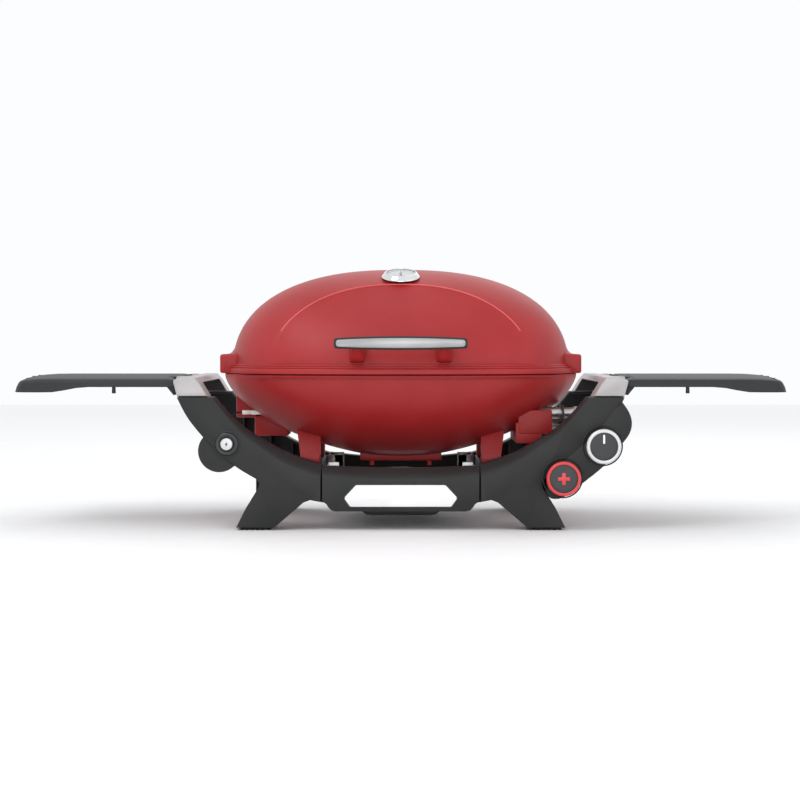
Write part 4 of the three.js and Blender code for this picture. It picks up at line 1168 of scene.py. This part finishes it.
def buildGrates():
    g = grateShape
    bars = grateTree()
    for side, word in ((-1, "left"), (1, "right")):
        item = looseObject("bar", unitBar())
        mesh = fromTree(bars, {"Bar": item, "Count": g["count"], "Pitch": g["pitch"] * mm, "First": g["first"] * mm,
                               "Half X": (g["half x"] - 4) * mm, "Half Y": (g["half y"] - 8) * mm,
                               "Power": shellShape["plan power"], "Side": float(side), "Finish": castIron})
        bpy.data.objects.remove(item)
        mesh = fromOrigin(mesh)
        outer = [p[:2] for p in ovalRing(g["half x"], g["half y"], 0, 128) if side * p[0] > 1.2]
        outer.sort(key=lambda p: math.atan2(p[1], side * p[0]))
        edge = [(side * 0.8, -g["half y"] + 0.2)] + outer + [(side * 0.8, g["half y"] - 0.2)]
        inner = [(side * 9, g["half y"] - g["frame"])]
        share = [1 - g["frame"] / g["half x"], 1 - g["frame"] / g["half y"]]
        inner += [(x * share[0], y * share[1]) for x, y in reversed(outer) if side * x * share[0] > 9.5]
        inner += [(side * 9, -g["half y"] + g["frame"])]
        frameMesh = rounded(prism(edge, "z", g["low"], g["top"] - 0.4), 1.4, 2, 50)
        frameMesh = carved(frameMesh, [prism(inner, "z", g["low"] - 5, g["top"] + 5)])
        middle = rounded(boxMesh(*sorted((side * 8, side * 284)), -4.2, 4.2, g["low"] + 0.3, g["top"] - 0.6), 1.2, 2)
        linkPiece(word + "_grate_casting", joined(frameMesh, middle, mesh), castIron, "cradle",
                  (word + "_grate",), 35)
    print("grates made")


burnerShape = {"half x": 200, "half y": 118, "z": 190, "radius": 10.8, "inlet y": -100}


def loopTube(halfX, halfY, z, radius, count=160, sides=28):
    bm = bmesh.new()
    rings = []
    for i in range(count):
        turn = 2 * math.pi * i / count
        c, s = math.cos(turn), math.sin(turn)
        outward = Vector((c / halfX, s / halfY)).normalized()
        ring = []
        for k in range(sides):
            around = 2 * math.pi * k / sides
            reach = radius * math.cos(around)
            ring.append(bm.verts.new(at(halfX * c + outward.x * reach, halfY * s + outward.y * reach,
                                        z + radius * math.sin(around))))
        rings.append(ring)
    for low, high in zip(rings, rings[1:] + rings[:1]):
        for k in range(sides):
            n = (k + 1) % sides
            bm.faces.new((low[k], low[n], high[n], high[k]))
    return meshOf(bm)


def buildBurners():
    b = burnerShape
    loop = loopTube(b["half x"], b["half y"], b["z"], b["radius"])
    inlet = turned([(0, 105), (b["radius"] - 0.4, 105), (b["radius"] - 0.4, 268), (9.2, 276), (9.2, 290), (10.3, 298),
                    (10.3, 311.5), (8.4, 311.5), (8.0, 262), (0, 262)], (0, b["inlet y"], b["z"]), (1, 0, 0), 48)
    shutter = turned([(10.5, 296), (11.2, 296.5), (11.2, 307.5), (10.5, 308)], (0, b["inlet y"], b["z"]), (1, 0, 0), 48)
    port = aboutOrigin(turned([(0, 0), (1.5, 0), (1.5, 1.2), (0, 1.2)], (0, 0, 0), (1, 0, 0), 12))
    ports = fromOrigin(ringOf(port, 72, b["half x"] - b["radius"] - 0.9, b["half y"] - b["radius"] - 0.9, blackInk))
    ports.transform(Matrix.Translation((0, 0, b["z"] * mm)))
    linkPiece("main_burner_tube", joined(loop, inlet, shutter), burnerSteel, "cradle",
              ("main_burner",), 40)
    linkPiece("main_burner_ports", ports, blackInk, "cradle")
    straight = turned([(0, -90), (6.5, -90), (8, -88), (8, 262), (6.6, 270), (6.6, 288), (7.8, 296), (7.8, 311.5),
                       (6.0, 311.5), (5.6, 262), (0, 262)], (0, -60, 168), (1, 0, 0), 40)
    linkPiece("centre_burner_tube", straight, burnerSteel, "cradle", ("centre_burner",), 40)
    holder = boxMesh(276.1, 278.9, -115.8, -46.2, 152.2, 203.8)
    holder = carved(rounded(holder, 0.6, 2), [turned([(0, 260), (11.2, 260), (11.2, 300), (0, 300)], (0, -100, 190),
                                                    (1, 0, 0), 48),
                                             turned([(0, 260), (8.3, 260), (8.3, 300), (0, 300)], (0, -60, 168),
                                                    (1, 0, 0), 48)])
    tab = rounded(boxMesh(278.5, 305.8, -83.8, -76.2, 172.2, 179.8), 0.8, 2)
    linkPiece("burner_holder", joined(holder, tab), darkSteel, "cradle", ("burner_bracket",), 35)
    print("burners made")


def buildGas():
    valves = {"main": ((334, 140), (300, -100, 190)), "centre": ((268, 87), (300, -60, 168))}
    for name, ((x, z), mouth) in valves.items():
        feed = tube([(x, -156, z + 7.5), (x, -141, z + 8), (328, mouth[1] - 8, mouth[2] - 12),
                     (317, mouth[1], mouth[2]), mouth], 3.3, 24, 14)
        linkPiece(name + "_feed_pipe", feed, platedSteel, "cradle", (name + "_feed_tube",), 50)
        casting = turned([(0, 0), (11.5, 0), (12.8, 1), (12.8, 9), (11.4, 10), (11.4, 24), (12.8, 25), (12.8, 49), (11.6, 50),
                          (0, 50)], (x, -206, z), (0, 1, 0), 48)
        well = turned([(0, -2), (7.6, -2), (7.6, 34), (0, 34)], (x, -206, z), (0, 1, 0), 40)
        screws = [turned([(0, -0.6), (1.6, -0.6), (1.6, 1), (0, 1)], (x + a, -206, z + b), (0, 1, 0), 16)
                  for a, b in ((9.6, 0), (-9.6, 0))]
        linkPiece(name + "_valve_casting", joined(carved(casting, [well]), *screws), brass, "cradle",
                  (name + "_valve_body",), 40)
    pipe = tube([(254, -144, 69), (301, -144, 106.5), (345, -144, 141), (355, -131, 149.5), (356, -60, 150)], 4.8, 28, 16)
    nut = carved(prism([(356 + 10.8 * math.cos(math.radians(30 + 60 * i)), 150 + 10.8 * math.sin(math.radians(30 + 60 * i)))
                        for i in range(6)], "y", -58.8, -37.2),
                 [turned([(0, 0), (5, 0), (5, 30), (0, 30)], (356, -50, 150), (0, 1, 0), 32)])
    ports = [turned([(0, 0), (3.8, 0), (3.8, 14), (0, 14)], (x, -157, z - 6), (0, 1, 0), 24)
             for x, z in ((334, 140), (268, 87))]
    linkPiece("gas_pipe", joined(pipe, *ports), brass, "cradle", ("gas_manifold",), 50)
    linkPiece("gas_inlet_nut", rounded(nut, 0.5, 2), brass, "cradle", ("gas_inlet",), 30)
    lead = tube([(-288, -156.5, 143), (-288, -138, 145), (-289, -98, 170), (-285, -74, 189), (-275, -70, 190)], 1.4, 16, 14)
    linkPiece("igniter_wire", lead, rubber, "cradle", ("igniter_lead",), 60)
    rod = turned([(0, -274), (3.4, -274), (3.9, -273), (3.9, -262), (3.2, -261), (3.2, -259), (3.9, -258), (3.9, -230),
                  (3.2, -228), (1.2, -228), (1.2, -206), (0, -206)], (0, -70, 190), (1, 0, 0), 28)
    linkPiece("igniter_spark_rod", rod, ceramic, "cradle", ("igniter_electrode",), 35)
    box = rounded(boxMesh(-298.8, -277.2, -187.8, -157.2, 132.2, 153.8), 1.6, 3)
    linkPiece("igniter_module_case", carved(box, [boxMesh(-300, -297.6, y, y + 1.6, 130, 156)
                                                 for y in (-182, -176, -170, -164)]), blackNylon, "cradle",
              ("igniter_module",), 35)
    cell = turned([(0, -202), (2, -202), (2, -201), (4.6, -201), (5.1, -200), (5.1, -160), (4.6, -158.2), (0, -158.2)],
                  (-308, 0, 128), (0, 1, 0), 36)
    linkPiece("igniter_battery", cell, platedSteel, "cradle", ("igniter_cell",), 40)
    print("gas train made")


panShape = {"top half": 92, "low half": 62, "front": -183, "rear": 190, "low": 22, "top": 76, "wall": 2.4}


def trayRings(insetBy, low, top, radius):
    # a tub with sloping sides and rounded corners; rings run up the outside
    p = panShape
    rings = []
    for share in (0, 0.03, 0.1, 0.5, 1):
        z = low + (top - low) * share
        ease = (1 - min(1, share / 0.1)) ** 2 * 5
        half = p["low half"] + (z - p["low"]) / (p["top"] - p["low"]) * (p["top half"] - p["low half"])
        half -= insetBy * 1.2 + ease
        front, rear = p["front"] + insetBy + ease, p["rear"] - insetBy - ease
        ring = []
        for cx, cy, start in ((half - radius, rear - radius, 0), (-half + radius, rear - radius, 90),
                              (-half + radius, front + radius, 180), (half - radius, front + radius, 270)):
            ring += [(x, y, z) for x, y in arc(cx, cy, radius, start, start + 90, 6)]
        rings.append(ring)
    return rings


def tubMesh(insetBy, low, top, wall, radius):
    outside = trayRings(insetBy, low, top, radius)
    inside = trayRings(insetBy + wall, low + wall, top, max(2, radius - wall))
    inside[-1] = [(x, y, top) for x, y, z in inside[-1]]
    return loft(outside + list(reversed(inside)))


def buildPan():
    p = panShape
    tub = tubMesh(0, p["low"] + 0.1, p["top"] - 0.1, p["wall"], 12)
    flange = rounded(boxMesh(-103.8, 103.8, p["front"] + 0.2, p["rear"] - 0.2, 74.1, 75.9), 0.5, 2)
    hole = [(x, y) for x, y, z in trayRings(1.2, p["low"], p["top"], 11)[-1]]
    flange = carved(flange, [prism(hole, "z", 70, 80)])
    lip = tube([(-58, -181.6, 30), (0, -181.8, 26), (58, -181.6, 30)], 1.2, 16, 16)
    linkPiece("drip_pan_tub", joined(tub, flange, lip), blackNylon, "catch_pan", ("drip_pan",), 35)
    tray = tubMesh(2.9, p["low"] + 2.9, 60, 0.8, 10)
    linkPiece("foil_tray", tray, foil, "catch_pan", ("foil_liner",), 35)
    for side, word in ((-1, "left"), (1, "right")):
        def span(a, b):
            return sorted((side * a, side * b))
        channel = [(98.2, 71.1), (107.9, 71.1), (107.9, 79.9), (98.2, 79.9), (98.2, 78.4), (106.3, 78.4), (106.3, 72.6),
                   (98.2, 72.6)]
        railMesh = prism(anticlockwise([(side * x, z) for x, z in channel]), "y", -180.8, 180.8)
        parts = [rounded(railMesh, 0.35, 2)]
        for y in (-151, 149):
            parts.append(rounded(boxMesh(*span(106.2, 135.5), y + 0.1, y + 1.9, 78.2, 103.8), 0.4, 2))
            parts.append(rounded(boxMesh(*span(104.2, 121.8), y + 0.1, y + 1.9, 79.2, 108.8), 0.4, 2))
        linkPiece(word + "_rail_channel", joined(*parts), platedSteel, "cradle",
                  (word + "_pan_rail",), 30)
    print("pan made")


def finishKept():
    # nodes that keep their shape take a worn-in surface of their own
    kept = {"left_hinge_pin": platedSteel, "right_hinge_pin": platedSteel, "left_front_table_pin": platedSteel,
            "left_rear_table_pin": platedSteel, "right_front_table_pin": platedSteel,
            "right_rear_table_pin": platedSteel, "thermometer_probe": platedSteel, "main_valve_plug": brass,
            "centre_valve_plug": brass, "main_valve_stem": platedSteel, "centre_valve_stem": platedSteel}
    for name, material in kept.items():
        piece = bpy.data.objects[name]
        for slot in piece.material_slots:
            slot.material = material
    print("kept nodes finished")


buildGrates()
buildBurners()
buildGas()
buildPan()
finishKept()


def buildStage():
    bm = bmesh.new()
    for x, y in ((-6, -6), (6, -6), (6, 6), (-6, 6)):
        bm.verts.new((x, y, 0))
    bm.faces.new(bm.verts)
    floorMesh = bpy.data.meshes.new("floor")
    bm.to_mesh(floorMesh)
    bm.free()
    floorMesh.materials.append(surface("pale_floor", {"Roughness": 0.7}, ("#F3F3F3", "#F6F6F6"), 30, 0.02))
    floor = looseObject("floor", floorMesh)
    world = bpy.data.worlds.new("studio")
    bpy.context.scene.world = world
    bpy.context.scene.view_settings.view_transform = "Standard"
    world.use_nodes = True
    world.node_tree.nodes["Background"].inputs[0].default_value = colour("#FCFDFF")
    world.node_tree.nodes["Background"].inputs[1].default_value = 1.0
    lamps = {"key": ((-1.3, -1.5, 2.4), 16, 1.2), "fill": ((2.4, -2.0, 1.2), 4, 2.2),
             "rim": ((0.6, 2.2, 2.4), 10, 2.4), "low": ((0, -2.6, 0.3), 11, 1.6)}
    for name, (place, power, size) in lamps.items():
        data = bpy.data.lights.new(name, "AREA")
        data.energy = power
        data.size = size
        lamp = bpy.data.objects.new(name, data)
        lamp.location = place
        lamp.rotation_euler = (Vector((0, 0, 0.25)) - Vector(place)).to_track_quat("-Z", "Y").to_euler()
        bpy.context.scene.collection.objects.link(lamp)


camera = {"distance": 3385, "height": 314, "lens": 86.2, "shiftX": -0.0009, "shiftY": -0.0741}


def buildCamera():
    # level, in front of the cradle, as high as the middle of the lid; the shift keeps the view level
    data = bpy.data.cameras.new("front")
    data.lens = camera["lens"]
    data.sensor_width = 36
    data.shift_x = camera["shiftX"]
    data.shift_y = camera["shiftY"]
    data.clip_end = 50
    view = bpy.data.objects.new("front", data)
    view.location = at(0, -camera["distance"], camera["height"])
    view.rotation_euler = (math.pi / 2, 0, 0)
    bpy.context.scene.collection.objects.link(view)
    bpy.context.scene.camera = view


buildStage()
buildCamera()
print("finished")
